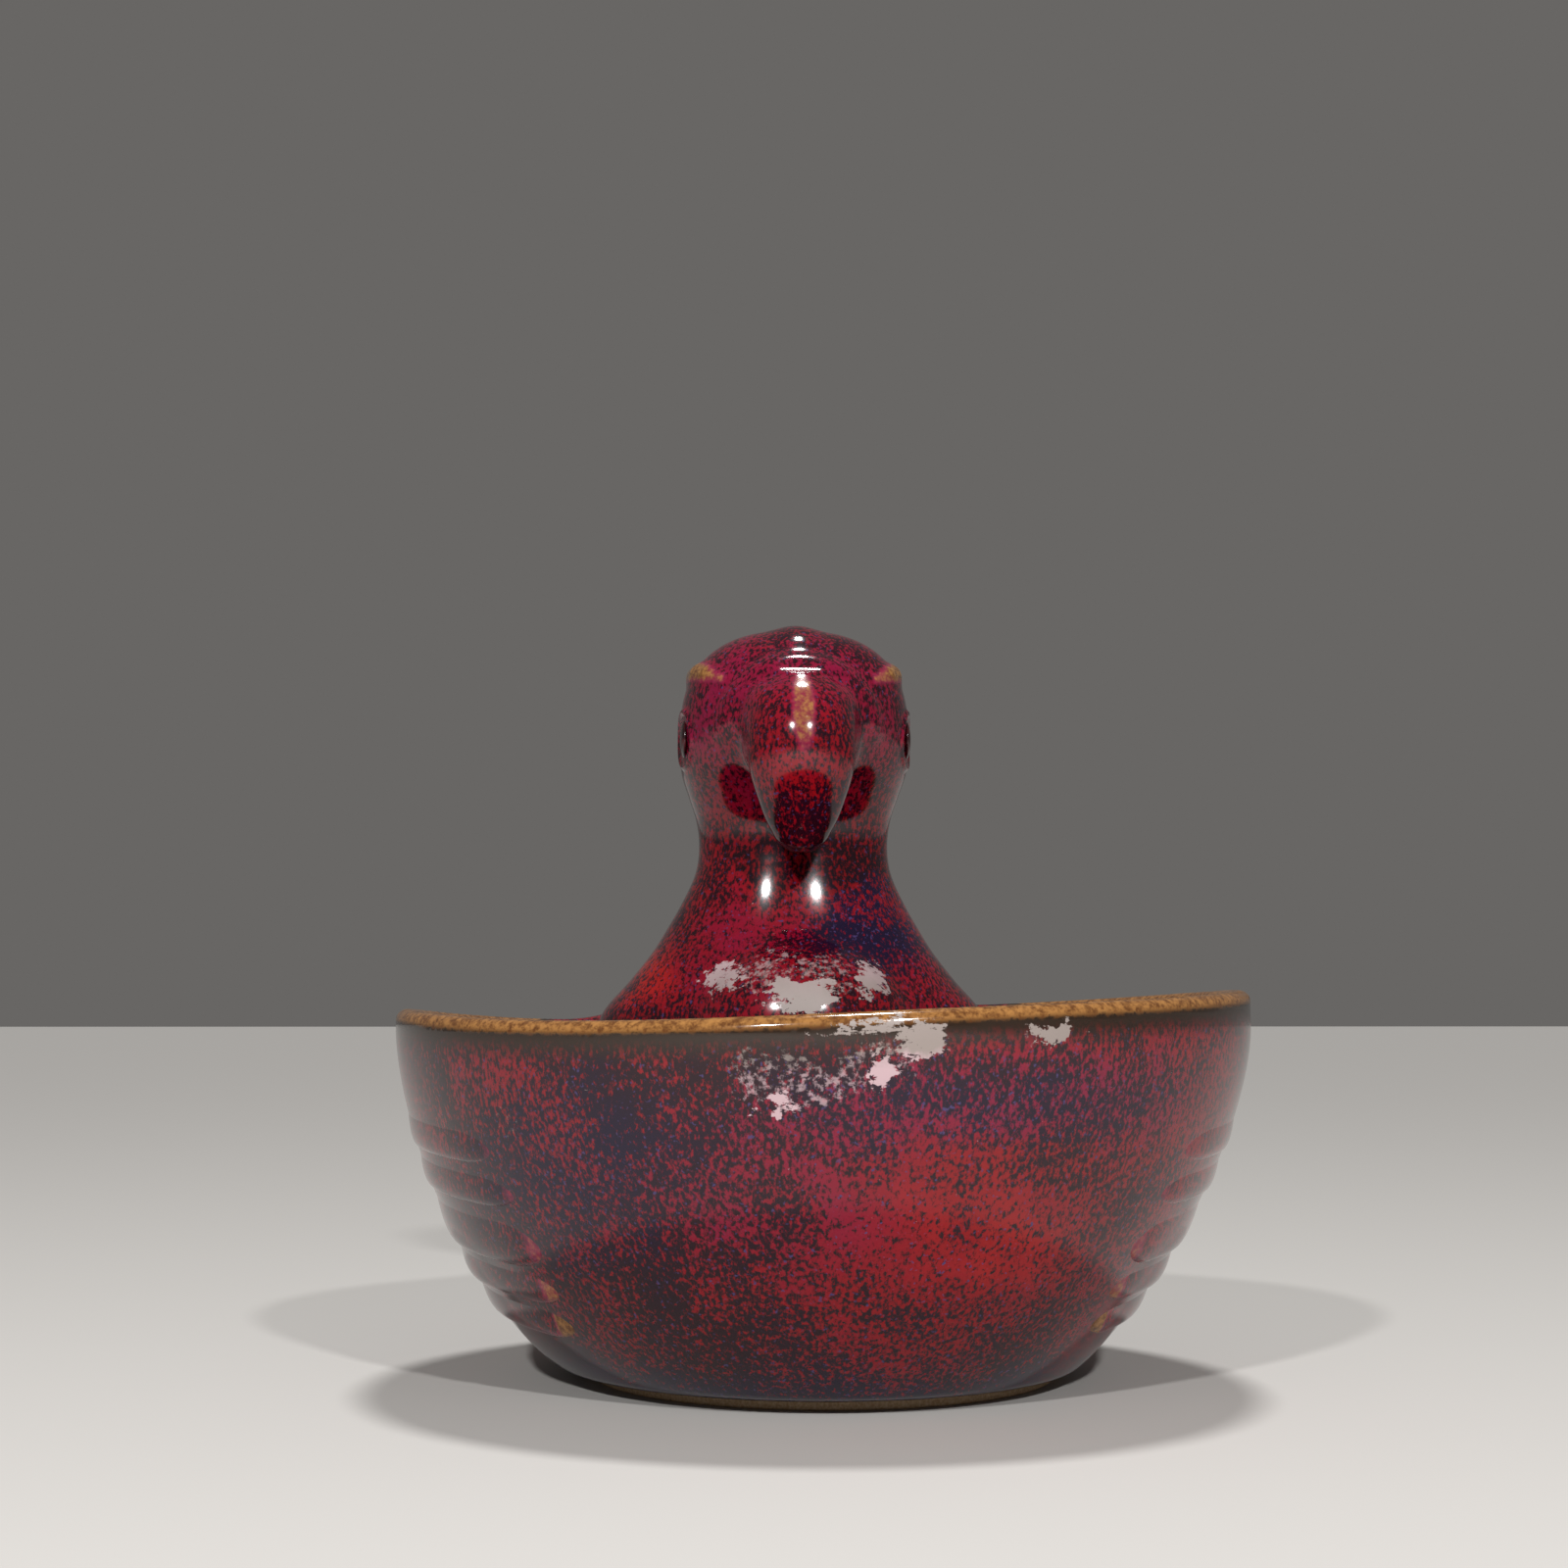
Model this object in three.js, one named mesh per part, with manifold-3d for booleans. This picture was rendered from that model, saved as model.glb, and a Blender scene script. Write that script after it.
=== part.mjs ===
import * as THREE from 'three';
import { mergeVertices } from 'three/addons/utils/BufferGeometryUtils.js';
import Module from 'manifold-3d';

// A brush washer in the form of a parrot: an oval bowl is the body, the wings lie in low relief
// on its sides, and the neck rises at the far end with the head turned back over the bowl.
// Millimetres. X is the bird's width, +Y runs from the open end of the bowl to the neck, +Z is up.
// The origin is on the table, under the middle of the bowl.

const wasm = await Module();
wasm.setup();

// Driving dimensions

const SLIP_GAP = 0.3; // between pieces of clay that are luted together

const FOOT_HALF_WIDTH = 34;
const FOOT_HALF_LENGTH = 40;
const FOOT_BAND = 5; // width of the ring on the table
const FOOT_HEIGHT = 1.3;

const BASE_HALF_WIDTH = 35; // where the wall of the bowl would meet the table
const BELLY_HALF_WIDTH = 62.4;
const BELLY_HEIGHT = 50; // the bowl is widest here
const BELLY_ROUND = 1.6; // power that rounds the wall's curve below the belly
const BELLY_SWELL = 0.78; // power that fills the flanks, lower is fuller
const BELLY_LEAN = 0.08; // the hand-made bowl's left flank is this much fuller, its right one less full
const END_REACH = 6.5; // how much longer than wide the half bowl is
const WALL = 3.2;
const FLOOR = 4.5;
const BASIN_CORNER = 11; // radius between the basin's wall and floor
const RIM_HEIGHT = 52.45;
const RIM_TILT = 2.7; // the rim climbs this much from the open end to the right, and sinks to the left
const RIM_TILT_EASE = 1.3; // less this much where the climb levels out at the sides
const RIM_RISE = 1.9; // and it rises this much over both wings
const ROW_SPREAD = 1.4; // power that draws the wall's rows together at the foot

const MANTLE_JOINT_HEIGHT = 56; // where the neck is luted on to the mantle
const NECK_JOINT_HEIGHT = 84; // where the head is luted on
const NECK_ASIDE = -1.8; // the neck and head are luted on a little to the left of the middle
const WAIST_DROP = 4; // the neck is narrowest this far below the joint
const NECK_HALF_WIDTH = 15.5; // at the waist
const NECK_FRONT = 29.5; // y of the neck's front at the waist
const NECK_BACK = 56.5; // y of its back
const MANTLE_HALF_WIDTH = 31.5; // at the height of the rim
const MANTLE_FRONT = 17; // y of the mantle's front there
const RIM_SETBACK = 0.9; // the mantle stops this far inside the rim's outer edge
const NECK_WALL = 3.4;
const NECK_POWER = 2.2; // roundness of the neck's section, 2 is an ellipse and more is squarer
const VENT_RADIUS = 1.25;
const VENT_DROP = 14; // the vent is this far below the rim

const HEAD_HALF_WIDTH = 18.7;
const HEAD_FRONT = 21.5;
const HEAD_LENGTH = 37.5; // from forehead to nape
const HEAD_HEIGHT = 30.7; // above the joint
const HEAD_WALL = 3.2;
const HEAD_POWER = 2.3;

const BEAK_HALF_WIDTH = 8.2;
const BEAK_RISE = 21.4; // its root starts this far above the joint
const BEAK_LENGTH = 28; // from root to tip
const BEAK_REACH = 9.9; // how far the hook stands out in front of the head
const BEAK_POWER = 1.85;
const LOWER_BEAK_HALF_WIDTH = 5;
const LOWER_BEAK_RISE = 5; // it reaches this far above the joint
const LOWER_BEAK_DROP = 4; // and this far below it

const CERE_MARGIN = 3.3; // between the beak's side and the middle of the arc
const CERE_LEAD = 1.7; // between the beak's root and the top of the arc
const CERE_RISE = 10.8; // from the arc's centre to its top
const CERE_SPREAD = 82; // degrees that the arc turns to each side
const CERE_RADIUS = 1.2;
const CREST_RADIUS = 1.3;
const CREST_TOP_SHARE = 0.45; // of the head's length, where the crest is highest
const BROW_RADIUS = 1.15;
const BROW_RISE = 8.5; // above the eye
const BROW_HALF_LENGTH = 10;
const RIDGE_END_SHARE = 0.35; // of a ridge's radius, left at its ends
const RIDGE_TAPER_POWER = 0.7;
const EYE_RISE = 12.7; // above the joint
const EYE_SETBACK = 14.5; // behind the forehead
const EYE_RADIUS = 3.1;
const EYE_BULGE = 1.1;
const EYE_RING_RADIUS = 4.5;
const EYE_RING_COIL = 0.8;

const FEATHER_EDGES = [10.6, 15.4, 20.2, 28.2, 33.9, 40.5]; // lower edges at the flank, then the top
const FEATHER_SINK = 2; // the feathers drop this much towards their tips
const FEATHER_LIFT = 3; // and rise this much towards the shoulder
const FEATHER_THICKNESS = 1.7; // at the lower edge
const FEATHER_THIN = 0.6; // at the upper edge
const FEATHER_TIP_ANGLE = 48; // degrees round the bowl from its open end
const FEATHER_ROOT_ANGLE = 118;
const ROW_ANGLE_GAP = 1; // degrees between one row of feathers and the next
const COVERT_EDGES = [14.5, 24, 33.5, 43];
const COVERT_ROOT_ANGLE = 136;
const SHOULDER_LOW = 19;
const SHOULDER_HIGH = 45.5;
const SHOULDER_ROOT_ANGLE = 156;
const SHOULDER_THICKNESS = 2.2;

// How the slabs of the wings end, as shares of their length that are rounded off
const FEATHER_ENDS = { roundTip: 0.16, roundRoot: 0.04 };
const COVERT_ENDS = { roundTip: 0.5, roundRoot: 0.1 };
const SHOULDER_ENDS = { roundTip: 0.35, roundRoot: 0.7 };

// Fineness of the facets

const BOWL_SIDES = 48;
const BOWL_ROWS = 12;
const LIP_STEPS = 4;
const CORNER_STEPS = 4;
const BASIN_ROWS = 6;
const NECK_SIDES = 28;
const NECK_ROWS = 20;
const NECK_HOLLOW_ROWS = 10;
const VENT_SIDES = 12;
const HEAD_ROWS = 16;
const HEAD_HOLLOW_ROWS = 8;
const BEAK_SIDES = 16;
const BEAK_ROWS = 14;
const LOWER_BEAK_ROWS = 8;
const RIDGE_SIDES = 7;
const CERE_POINTS = 9;
const CERE_STEPS = 16;
const CREST_STEPS = 12;
const BROW_STEPS = 8;
const EYE_SIDES = 14;
const EYE_ROWS = 8;
const EYE_RING_STEPS = 20;
const FEATHER_STEPS = 12;
const COVERT_STEPS = 6;
const SHOULDER_STEPS = 7;

const DEGREE = Math.PI / 180;

// Materials

function ceramic(name, color, roughness) {
  return new THREE.MeshStandardMaterial({ name, color, roughness, metalness: 0 });
}

function glaze() {
  return ceramic('flambe_glaze', 0x6a1f2e, 0.15);
}

function thinGlaze() {
  return ceramic('thin_glaze', 0xa8672f, 0.2);
}

function darkGlaze() {
  return ceramic('dark_glaze', 0x24151c, 0.12);
}

function bareClay() {
  return ceramic('bare_clay', 0xc2a07c, 0.85);
}

// Closed solids from rings of points

function solidFromGeometry(geometry) {
  const bare = geometry.clone();
  bare.deleteAttribute('normal');
  bare.deleteAttribute('uv');
  const merged = mergeVertices(bare, 1e-4);
  return new wasm.Manifold(new wasm.Mesh({
    numProp: 3,
    vertProperties: new Float32Array(merged.attributes.position.array),
    triVerts: new Uint32Array(merged.index.array),
  }));
}

function ringCentre(ring) {
  const centre = new THREE.Vector3();
  ring.forEach((point) => centre.add(point));
  return centre.divideScalar(ring.length);
}

function signedVolume(points, triangles) {
  let volume = 0;
  for (let i = 0; i < triangles.length; i += 3) {
    const [a, b, c] = [points[triangles[i]], points[triangles[i + 1]], points[triangles[i + 2]]];
    volume += a.dot(b.clone().cross(c)) / 6;
  }
  return volume;
}

// A skin over rings that hold the same number of points. It is closed by a fan at each end, or,
// where it is a loop, by joining the last ring to the first.
function loft(rings, { loop = false } = {}) {
  const sides = rings[0].length;
  const points = rings.flat();
  const triangles = [];
  for (let r = 0; r < (loop ? rings.length : rings.length - 1); r++) {
    const above = ((r + 1) % rings.length) * sides;
    for (let s = 0; s < sides; s++) {
      const next = (s + 1) % sides;
      const [a, b] = [r * sides + s, r * sides + next];
      triangles.push(a, b, above + s, b, above + next, above + s);
    }
  }
  if (!loop) {
    const first = points.push(ringCentre(rings[0])) - 1;
    const last = points.push(ringCentre(rings[rings.length - 1])) - 1;
    const lastRing = (rings.length - 1) * sides;
    for (let s = 0; s < sides; s++) {
      const next = (s + 1) % sides;
      triangles.push(first, next, s, last, lastRing + s, lastRing + next);
    }
  }
  if (signedVolume(points, triangles) < 0) {
    triangles.reverse();
  }
  const geometry = new THREE.BufferGeometry().setFromPoints(points);
  geometry.setIndex(triangles);
  return solidFromGeometry(geometry);
}

function meshFromSolid(name, solid, material) {
  const { vertProperties, triVerts } = solid.getMesh();
  const geometry = new THREE.BufferGeometry();
  geometry.setAttribute('position', new THREE.BufferAttribute(vertProperties, 3));
  geometry.setIndex(new THREE.BufferAttribute(triVerts, 1));
  geometry.computeVertexNormals();
  const mesh = new THREE.Mesh(geometry, material);
  mesh.name = name;
  return mesh;
}

// Bowl

// Half width of the oval at a height, for the flank on one side: -1 left, 0 the ends, 1 right.
function bowlHalfWidth(z, side = 0) {
  const drop = 1 - Math.min(Math.max(z, 0), BELLY_HEIGHT) / BELLY_HEIGHT;
  const fill = (1 - drop ** BELLY_ROUND) ** (BELLY_SWELL + BELLY_LEAN * side);
  return BASE_HALF_WIDTH + (BELLY_HALF_WIDTH - BASE_HALF_WIDTH) * fill;
}

// Point of the oval plan, at an angle from the open end towards +X.
function ovalPoint(angle, halfWidth, z) {
  return new THREE.Vector3(
    halfWidth * Math.sin(angle),
    -(halfWidth + END_REACH) * Math.cos(angle),
    z,
  );
}

const SLOPE_STEP = 0.5; // millimetres of height over which the wall's slope is measured

// Point on the outer wall, moved out along its normal.
function wallPoint(angle, z, out) {
  const halfAt = (height) => bowlHalfWidth(height, Math.sin(angle));
  const slope = (halfAt(z + SLOPE_STEP) - halfAt(z - SLOPE_STEP)) / (2 * SLOPE_STEP);
  const length = Math.hypot(1, slope);
  return ovalPoint(angle, halfAt(z) + out / length, z - (out * slope) / length);
}

function rimHeight(angle) {
  const side = Math.sin(angle);
  return RIM_HEIGHT + RIM_TILT * side - RIM_TILT_EASE * side ** 3 + RIM_RISE * side ** 4;
}

const bowlBase = FOOT_HEIGHT + SLIP_GAP;
const basinFloor = bowlBase + FLOOR;

// Half width and height of the bowl's section at one angle, from the base, over the lip, to the floor.
function bowlProfile(angle, grow) {
  const halfAt = (height) => bowlHalfWidth(height, Math.sin(angle));
  const lip = WALL / 2;
  const lipHeight = rimHeight(angle) - lip;
  const profile = [];
  for (let i = 0; i <= BOWL_ROWS; i++) {
    const z = bowlBase + (lipHeight - bowlBase) * (i / BOWL_ROWS) ** ROW_SPREAD;
    profile.push([halfAt(z) + grow, i === 0 ? z - grow : z]);
  }
  const lipCentre = halfAt(lipHeight) - lip;
  for (let i = 1; i < LIP_STEPS; i++) {
    const turn = (Math.PI * i) / LIP_STEPS;
    profile.push([lipCentre + (lip + grow) * Math.cos(turn), lipHeight + (lip + grow) * Math.sin(turn)]);
  }
  const cornerHeight = basinFloor + BASIN_CORNER;
  for (let i = 0; i < BASIN_ROWS; i++) {
    const z = lipHeight + (cornerHeight - lipHeight) * (i / BASIN_ROWS);
    profile.push([halfAt(z) - WALL - grow, z]);
  }
  const cornerCentre = halfAt(cornerHeight) - WALL - BASIN_CORNER;
  for (let i = 0; i <= CORNER_STEPS; i++) {
    const turn = ((Math.PI / 2) * i) / CORNER_STEPS;
    const radius = BASIN_CORNER - grow;
    profile.push([cornerCentre + radius * Math.cos(turn), cornerHeight - radius * Math.sin(turn)]);
  }
  return profile;
}

function bowlSolid(grow = 0) {
  const profiles = [];
  for (let s = 0; s < BOWL_SIDES; s++) {
    const angle = (2 * Math.PI * s) / BOWL_SIDES;
    profiles.push(bowlProfile(angle, grow).map(([halfWidth, z]) => ovalPoint(angle, halfWidth, z)));
  }
  return loft(profiles[0].map((_, row) => profiles.map((profile) => profile[row])));
}

function footRing() {
  const oval = (halfWidth, halfLength) => new THREE.EllipseCurve(0, 0, halfWidth, halfLength);
  const shape = new THREE.Shape(oval(FOOT_HALF_WIDTH, FOOT_HALF_LENGTH).getPoints(BOWL_SIDES));
  const inner = oval(FOOT_HALF_WIDTH - FOOT_BAND, FOOT_HALF_LENGTH - FOOT_BAND).getPoints(BOWL_SIDES);
  shape.holes.push(new THREE.Path(inner));
  const geometry = new THREE.ExtrudeGeometry(shape, { depth: FOOT_HEIGHT, bevelEnabled: false });
  return meshFromSolid('foot_ring', solidFromGeometry(geometry), bareClay());
}

// Neck, head and beak: ovals stacked up the height

function ovalRing({ z, half, front, back }, power, sides) {
  const middle = (front + back) / 2;
  const depth = (back - front) / 2;
  const bend = (value) => Math.sign(value) * Math.abs(value) ** (2 / power);
  const ring = [];
  for (let s = 0; s < sides; s++) {
    const turn = (2 * Math.PI * s) / sides;
    ring.push(new THREE.Vector3(half * bend(Math.cos(turn)), middle + depth * bend(Math.sin(turn)), z));
  }
  return ring;
}

// Sections blended smoothly, with the surface moved out by grow.
function blendSections(sections, rows, grow = 0) {
  const curve = (key) => new THREE.SplineCurve(sections.map((s) => new THREE.Vector2(s[key], s.z)));
  const [half, front, back] = [curve('half'), curve('front'), curve('back')];
  const blended = [];
  for (let i = 0; i <= rows; i++) {
    const u = i / rows;
    const side = half.getPoint(u);
    blended.push({
      z: side.y + grow * (2 * u - 1),
      half: side.x + grow,
      front: front.getPoint(u).x - grow,
      back: back.getPoint(u).x + grow,
    });
  }
  return blended;
}

function stackSolid(sections, rows, { power = NECK_POWER, sides = NECK_SIDES, grow = 0 } = {}) {
  return loft(blendSections(sections, rows, grow).map((section) => ovalRing(section, power, sides)));
}

const waistHeight = NECK_JOINT_HEIGHT - WAIST_DROP;
const mantleBack = bowlHalfWidth(RIM_HEIGHT) + END_REACH - RIM_SETBACK;

function mix(from, to, share) {
  return from + (to - from) * share;
}

// y of the middle of the bowl's far wall, where the foot of the neck is cut to fit.
function farWall(z) {
  return bowlHalfWidth(z) + END_REACH - WALL / 2;
}

// The mantle's foot inside the bowl. Shares of the height from the floor to the rim, of the
// mantle's half width, and of the way from its front back to the far wall.
const mantleFoot = [[0.13, 0.46, 0.68], [0.35, 0.71, 0.39], [0.61, 0.89, 0.165], [0.83, 0.985, 0.05]]
  .map(([rise, wide, lean]) => {
    const z = mix(basinFloor, RIM_HEIGHT, rise);
    const front = mix(MANTLE_FRONT, farWall(z), lean);
    return { z, half: MANTLE_HALF_WIDTH * wide, front, back: farWall(z) };
  });

// From the rim to the waist. Shares of the height, and of the way from the mantle's half width,
// front and back to the neck's.
const neckRise = [
  [0, 0, 0, 0],
  [0.22, 0.31, 0.12, 0.09],
  [0.38, 0.54, 0.48, 0.3],
  [0.5, 0.67, 0.8, 0.48],
  [0.64, 0.81, 0.94, 0.67],
  [0.86, 0.975, 1, 0.91],
  [1, 1, 1.03, 1],
].map(([rise, narrow, front, back]) => ({
  z: mix(RIM_HEIGHT, waistHeight, rise),
  half: mix(MANTLE_HALF_WIDTH, NECK_HALF_WIDTH, narrow),
  front: mix(MANTLE_FRONT, NECK_FRONT, front),
  back: mix(mantleBack, NECK_BACK, back),
}));

const JOINT_FLARE = 1.03; // the joint is this much wider than the waist
const jointSection = {
  z: NECK_JOINT_HEIGHT,
  half: NECK_HALF_WIDTH * JOINT_FLARE,
  front: NECK_FRONT,
  back: NECK_BACK,
};
const neckSections = [...mantleFoot, ...neckRise, jointSection];

// The section inside the wall, which measures more across where the skin slants.
function inset(section, wall) {
  const { z, half, front, back } = section;
  const lining = z < RIM_HEIGHT ? WALL : 0;
  return { z, half: half - wall, front: front + wall, back: back - wall - lining };
}

// How many walls thick the inset is at each section, from the third one up.
const NECK_SLANTS = [2.2, 1.9, 1.9, 2.1, 2.1, 1.7, 1.4, 1.2, 1, 1];

function neckHollow() {
  const lowest = neckSections.length - NECK_SLANTS.length;
  const sections = NECK_SLANTS.map((slant, i) => inset(neckSections[lowest + i], NECK_WALL * slant));
  const top = sections[sections.length - 1];
  return stackSolid([...sections, { ...top, z: top.z + NECK_WALL }], NECK_HOLLOW_ROWS);
}

function ventHole() {
  const length = MANTLE_HALF_WIDTH / 2;
  const geometry = new THREE.CylinderGeometry(VENT_RADIUS, VENT_RADIUS, length, VENT_SIDES);
  geometry.translate(0, MANTLE_FRONT + length / 2, RIM_HEIGHT - VENT_DROP);
  return solidFromGeometry(geometry);
}

function neckSkin(grow = 0) {
  return stackSolid(neckSections, NECK_ROWS, { grow });
}

// The mantle with its foot below the joint, and the neck above it. They are made about the neck's
// own middle, so the bowl that cuts the foot is moved the other way.
function mantleAndNeck() {
  const bowlSeen = bowlSolid(SLIP_GAP).translate([-NECK_ASIDE, 0, 0]);
  const clay = neckSkin().subtract(neckHollow()).subtract(ventHole()).subtract(bowlSeen);
  const below = clay.trimByPlane([0, 0, -1], SLIP_GAP / 2 - MANTLE_JOINT_HEIGHT);
  const above = clay.trimByPlane([0, 0, 1], SLIP_GAP / 2 + MANTLE_JOINT_HEIGHT);
  return [meshFromSolid('mantle', below, glaze()), meshFromSolid('neck', above, glaze())];
}

// The head above the joint. Shares of its height, of its half width, and of its length that the
// forehead and the nape draw in.
const headSections = [
  { ...jointSection, z: NECK_JOINT_HEIGHT + SLIP_GAP },
  ...[
    [0.13, 0.925, 0.147, 0.04],
    [0.23, 0.99, 0.075, 0.01],
    [0.38, 1, 0.027, 0],
    [0.51, 1, 0, 0.008],
    [0.625, 0.98, 0, 0.04],
    [0.74, 0.9, 0.032, 0.093],
    [0.853, 0.775, 0.12, 0.15],
    [0.94, 0.56, 0.23, 0.26],
    [1, 0.055, 0.43, 0.5],
  ].map(([rise, wide, forehead, nape]) => ({
    z: NECK_JOINT_HEIGHT + HEAD_HEIGHT * rise + SLIP_GAP,
    half: HEAD_HALF_WIDTH * wide,
    front: HEAD_FRONT + HEAD_LENGTH * forehead,
    back: HEAD_FRONT + HEAD_LENGTH * (1 - nape),
  })),
];
const headTop = NECK_JOINT_HEIGHT + HEAD_HEIGHT + SLIP_GAP;

function headSkin(grow = 0) {
  return stackSolid(headSections, HEAD_ROWS, { power: HEAD_POWER, grow });
}

// How many walls lower than each of the head's sections the hollow's section lies.
const HEAD_DROPS = [1, 0, 0, 0, 0.3, 0.5, 0.8, 1];

function headHollow() {
  const sections = HEAD_DROPS.map((drop, i) => {
    const { z, half, front, back } = headSections[i];
    return {
      z: z - HEAD_WALL * drop,
      half: half - HEAD_WALL,
      front: front + HEAD_WALL,
      back: back - HEAD_WALL,
    };
  });
  return stackSolid(sections, HEAD_HOLLOW_ROWS, { power: HEAD_POWER });
}

function head() {
  return meshFromSolid('head', headSkin().subtract(headHollow()), glaze());
}

// The head's section at a height, blended as the skin is.
const headTable = blendSections(headSections, 8 * HEAD_ROWS);

function headSectionAt(z) {
  const above = Math.max(1, headTable.findIndex((section) => section.z >= z));
  const [low, high] = [headTable[above - 1], headTable[above]];
  const share = (z - low.z) / (high.z - low.z);
  const at = (key) => mix(low[key], high[key], share);
  return { half: at('half'), front: at('front'), back: at('back') };
}

function remainder(ratio) {
  return Math.max(0, 1 - Math.abs(ratio) ** HEAD_POWER) ** (1 / HEAD_POWER);
}

function headFrontPoint(x, z) {
  const { half, front, back } = headSectionAt(z);
  const depth = (back - front) / 2;
  return new THREE.Vector3(x, (front + back) / 2 - depth * remainder(x / half), z);
}

function headSidePoint(side, y, z) {
  const { half, front, back } = headSectionAt(z);
  const depth = (back - front) / 2;
  return new THREE.Vector3(side * half * remainder((y - (front + back) / 2) / depth), y, z);
}

// The hooked beak from its tip up. Shares of its length, of its half width, and of its reach to
// the front and to the back of the forehead's line.
const beakTop = NECK_JOINT_HEIGHT + BEAK_RISE;
const beakSections = [
  [1, 0.06, 0.31, -0.26],
  [0.968, 0.25, 0.43, -0.18],
  [0.875, 0.49, 0.58, -0.12],
  [0.7, 0.76, 0.8, -0.08],
  [0.54, 0.94, 0.97, 0.35],
  [0.375, 1, 1, 0.6],
  [0.214, 0.95, 0.86, 0.7],
  [0.07, 0.71, 0.52, 0.5],
  [0, 0.27, 0.22, 0.3],
].map(([fall, wide, front, back]) => ({
  z: beakTop - BEAK_LENGTH * fall,
  half: BEAK_HALF_WIDTH * wide,
  front: HEAD_FRONT - BEAK_REACH * front,
  back: HEAD_FRONT + BEAK_REACH * back,
}));

function upperBeakSkin(grow = 0) {
  return stackSolid(beakSections, BEAK_ROWS, { power: BEAK_POWER, sides: BEAK_SIDES, grow });
}

function upperBeak() {
  return meshFromSolid('upper_beak', upperBeakSkin().subtract(headSkin(SLIP_GAP)), glaze());
}

// The lower beak from its tip up. Shares of its height, of its half width, and of the way from
// the forehead's line back to the neck's.
const lowerBeakSections = [
  [0, 0.2, 0.375, 0.625],
  [0.13, 0.64, 0.1, 0.875],
  [0.44, 0.92, -0.075, 1.25],
  [0.78, 1, -0.06, 1.25],
  [1, 0.8, 0.125, 1.25],
].map(([rise, wide, front, back]) => ({
  z: NECK_JOINT_HEIGHT - LOWER_BEAK_DROP + (LOWER_BEAK_DROP + LOWER_BEAK_RISE) * rise,
  half: LOWER_BEAK_HALF_WIDTH * wide,
  front: mix(HEAD_FRONT, NECK_FRONT, front),
  back: mix(HEAD_FRONT, NECK_FRONT, back),
}));

function lowerBeak() {
  const solid = stackSolid(lowerBeakSections, LOWER_BEAK_ROWS, { sides: BEAK_SIDES })
    .subtract(headSkin(SLIP_GAP))
    .subtract(upperBeakSkin(SLIP_GAP))
    .subtract(neckSkin(SLIP_GAP));
  return meshFromSolid('lower_beak', solid, glaze());
}

// Ridges: rolled coils of clay pressed on to the head

function ridgeSolid(points, radius, steps) {
  const path = new THREE.CatmullRomCurve3(points);
  const frames = path.computeFrenetFrames(steps);
  const rings = [];
  for (let i = 0; i <= steps; i++) {
    const centre = path.getPointAt(i / steps);
    const full = Math.sin((Math.PI * i) / steps) ** RIDGE_TAPER_POWER;
    const taper = radius * mix(RIDGE_END_SHARE, 1, full);
    const ring = [];
    for (let s = 0; s < RIDGE_SIDES; s++) {
      const turn = (2 * Math.PI * s) / RIDGE_SIDES;
      ring.push(centre.clone()
        .addScaledVector(frames.normals[i], taper * Math.cos(turn))
        .addScaledVector(frames.binormals[i], taper * Math.sin(turn)));
    }
    rings.push(ring);
  }
  return loft(rings);
}

const cereTop = beakTop + CERE_LEAD;

function cere() {
  const points = [];
  for (let i = 0; i < CERE_POINTS; i++) {
    const turn = mix(-CERE_SPREAD, CERE_SPREAD, i / (CERE_POINTS - 1)) * DEGREE;
    const x = (BEAK_HALF_WIDTH + CERE_MARGIN) * Math.sin(turn);
    const z = cereTop - CERE_RISE * (1 - Math.cos(turn));
    points.push(headFrontPoint(x, z));
  }
  const solid = ridgeSolid(points, CERE_RADIUS, CERE_STEPS)
    .subtract(headSkin(SLIP_GAP))
    .subtract(upperBeakSkin(SLIP_GAP));
  return meshFromSolid('cere', solid, thinGlaze());
}

// Where the crest's points lie: shares of the way from the cere up the forehead to the crown, and
// of the head's height down the nape.
const FOREHEAD_SHARES = [0, 0.35, 0.7];
const NAPE_SHARES = [0.08, 0.2];

// The crest runs from above the cere over the crown to the nape.
function crest() {
  const start = cereTop + CERE_RADIUS + CREST_RADIUS;
  const points = FOREHEAD_SHARES.map((share) => headFrontPoint(0, mix(start, headTop, share)));
  points.push(new THREE.Vector3(0, HEAD_FRONT + HEAD_LENGTH * CREST_TOP_SHARE, headTop));
  for (const drop of NAPE_SHARES) {
    const z = headTop - HEAD_HEIGHT * drop;
    points.push(new THREE.Vector3(0, headSectionAt(z).back, z));
  }
  const solid = ridgeSolid(points, CREST_RADIUS, CREST_STEPS).subtract(headSkin(SLIP_GAP));
  return meshFromSolid('crest', solid, thinGlaze());
}

const eyeHeight = NECK_JOINT_HEIGHT + EYE_RISE;
const eyeY = HEAD_FRONT + EYE_SETBACK;

// The brow's arch: shares of its half length from the eye, and of its rise above its front end.
const BROW_ARCH = [[-0.9, 0], [-0.3, 0.2], [0.4, 0.25], [1.1, 0.06]];

function brow(name, side) {
  const points = BROW_ARCH.map(([along, arch]) => (
    headSidePoint(side, eyeY + BROW_HALF_LENGTH * along, eyeHeight + BROW_RISE * (1 + arch))
  ));
  const solid = ridgeSolid(points, BROW_RADIUS, BROW_STEPS).subtract(headSkin(SLIP_GAP));
  return meshFromSolid(name, solid, thinGlaze());
}

function eyeSolid(side, grow = 0) {
  const geometry = new THREE.SphereGeometry(1, EYE_SIDES, EYE_ROWS);
  geometry.scale(EYE_BULGE + grow, EYE_RADIUS + grow, EYE_RADIUS + grow);
  const seat = headSidePoint(side, eyeY, eyeHeight);
  geometry.translate(seat.x, seat.y, seat.z);
  return solidFromGeometry(geometry);
}

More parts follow.
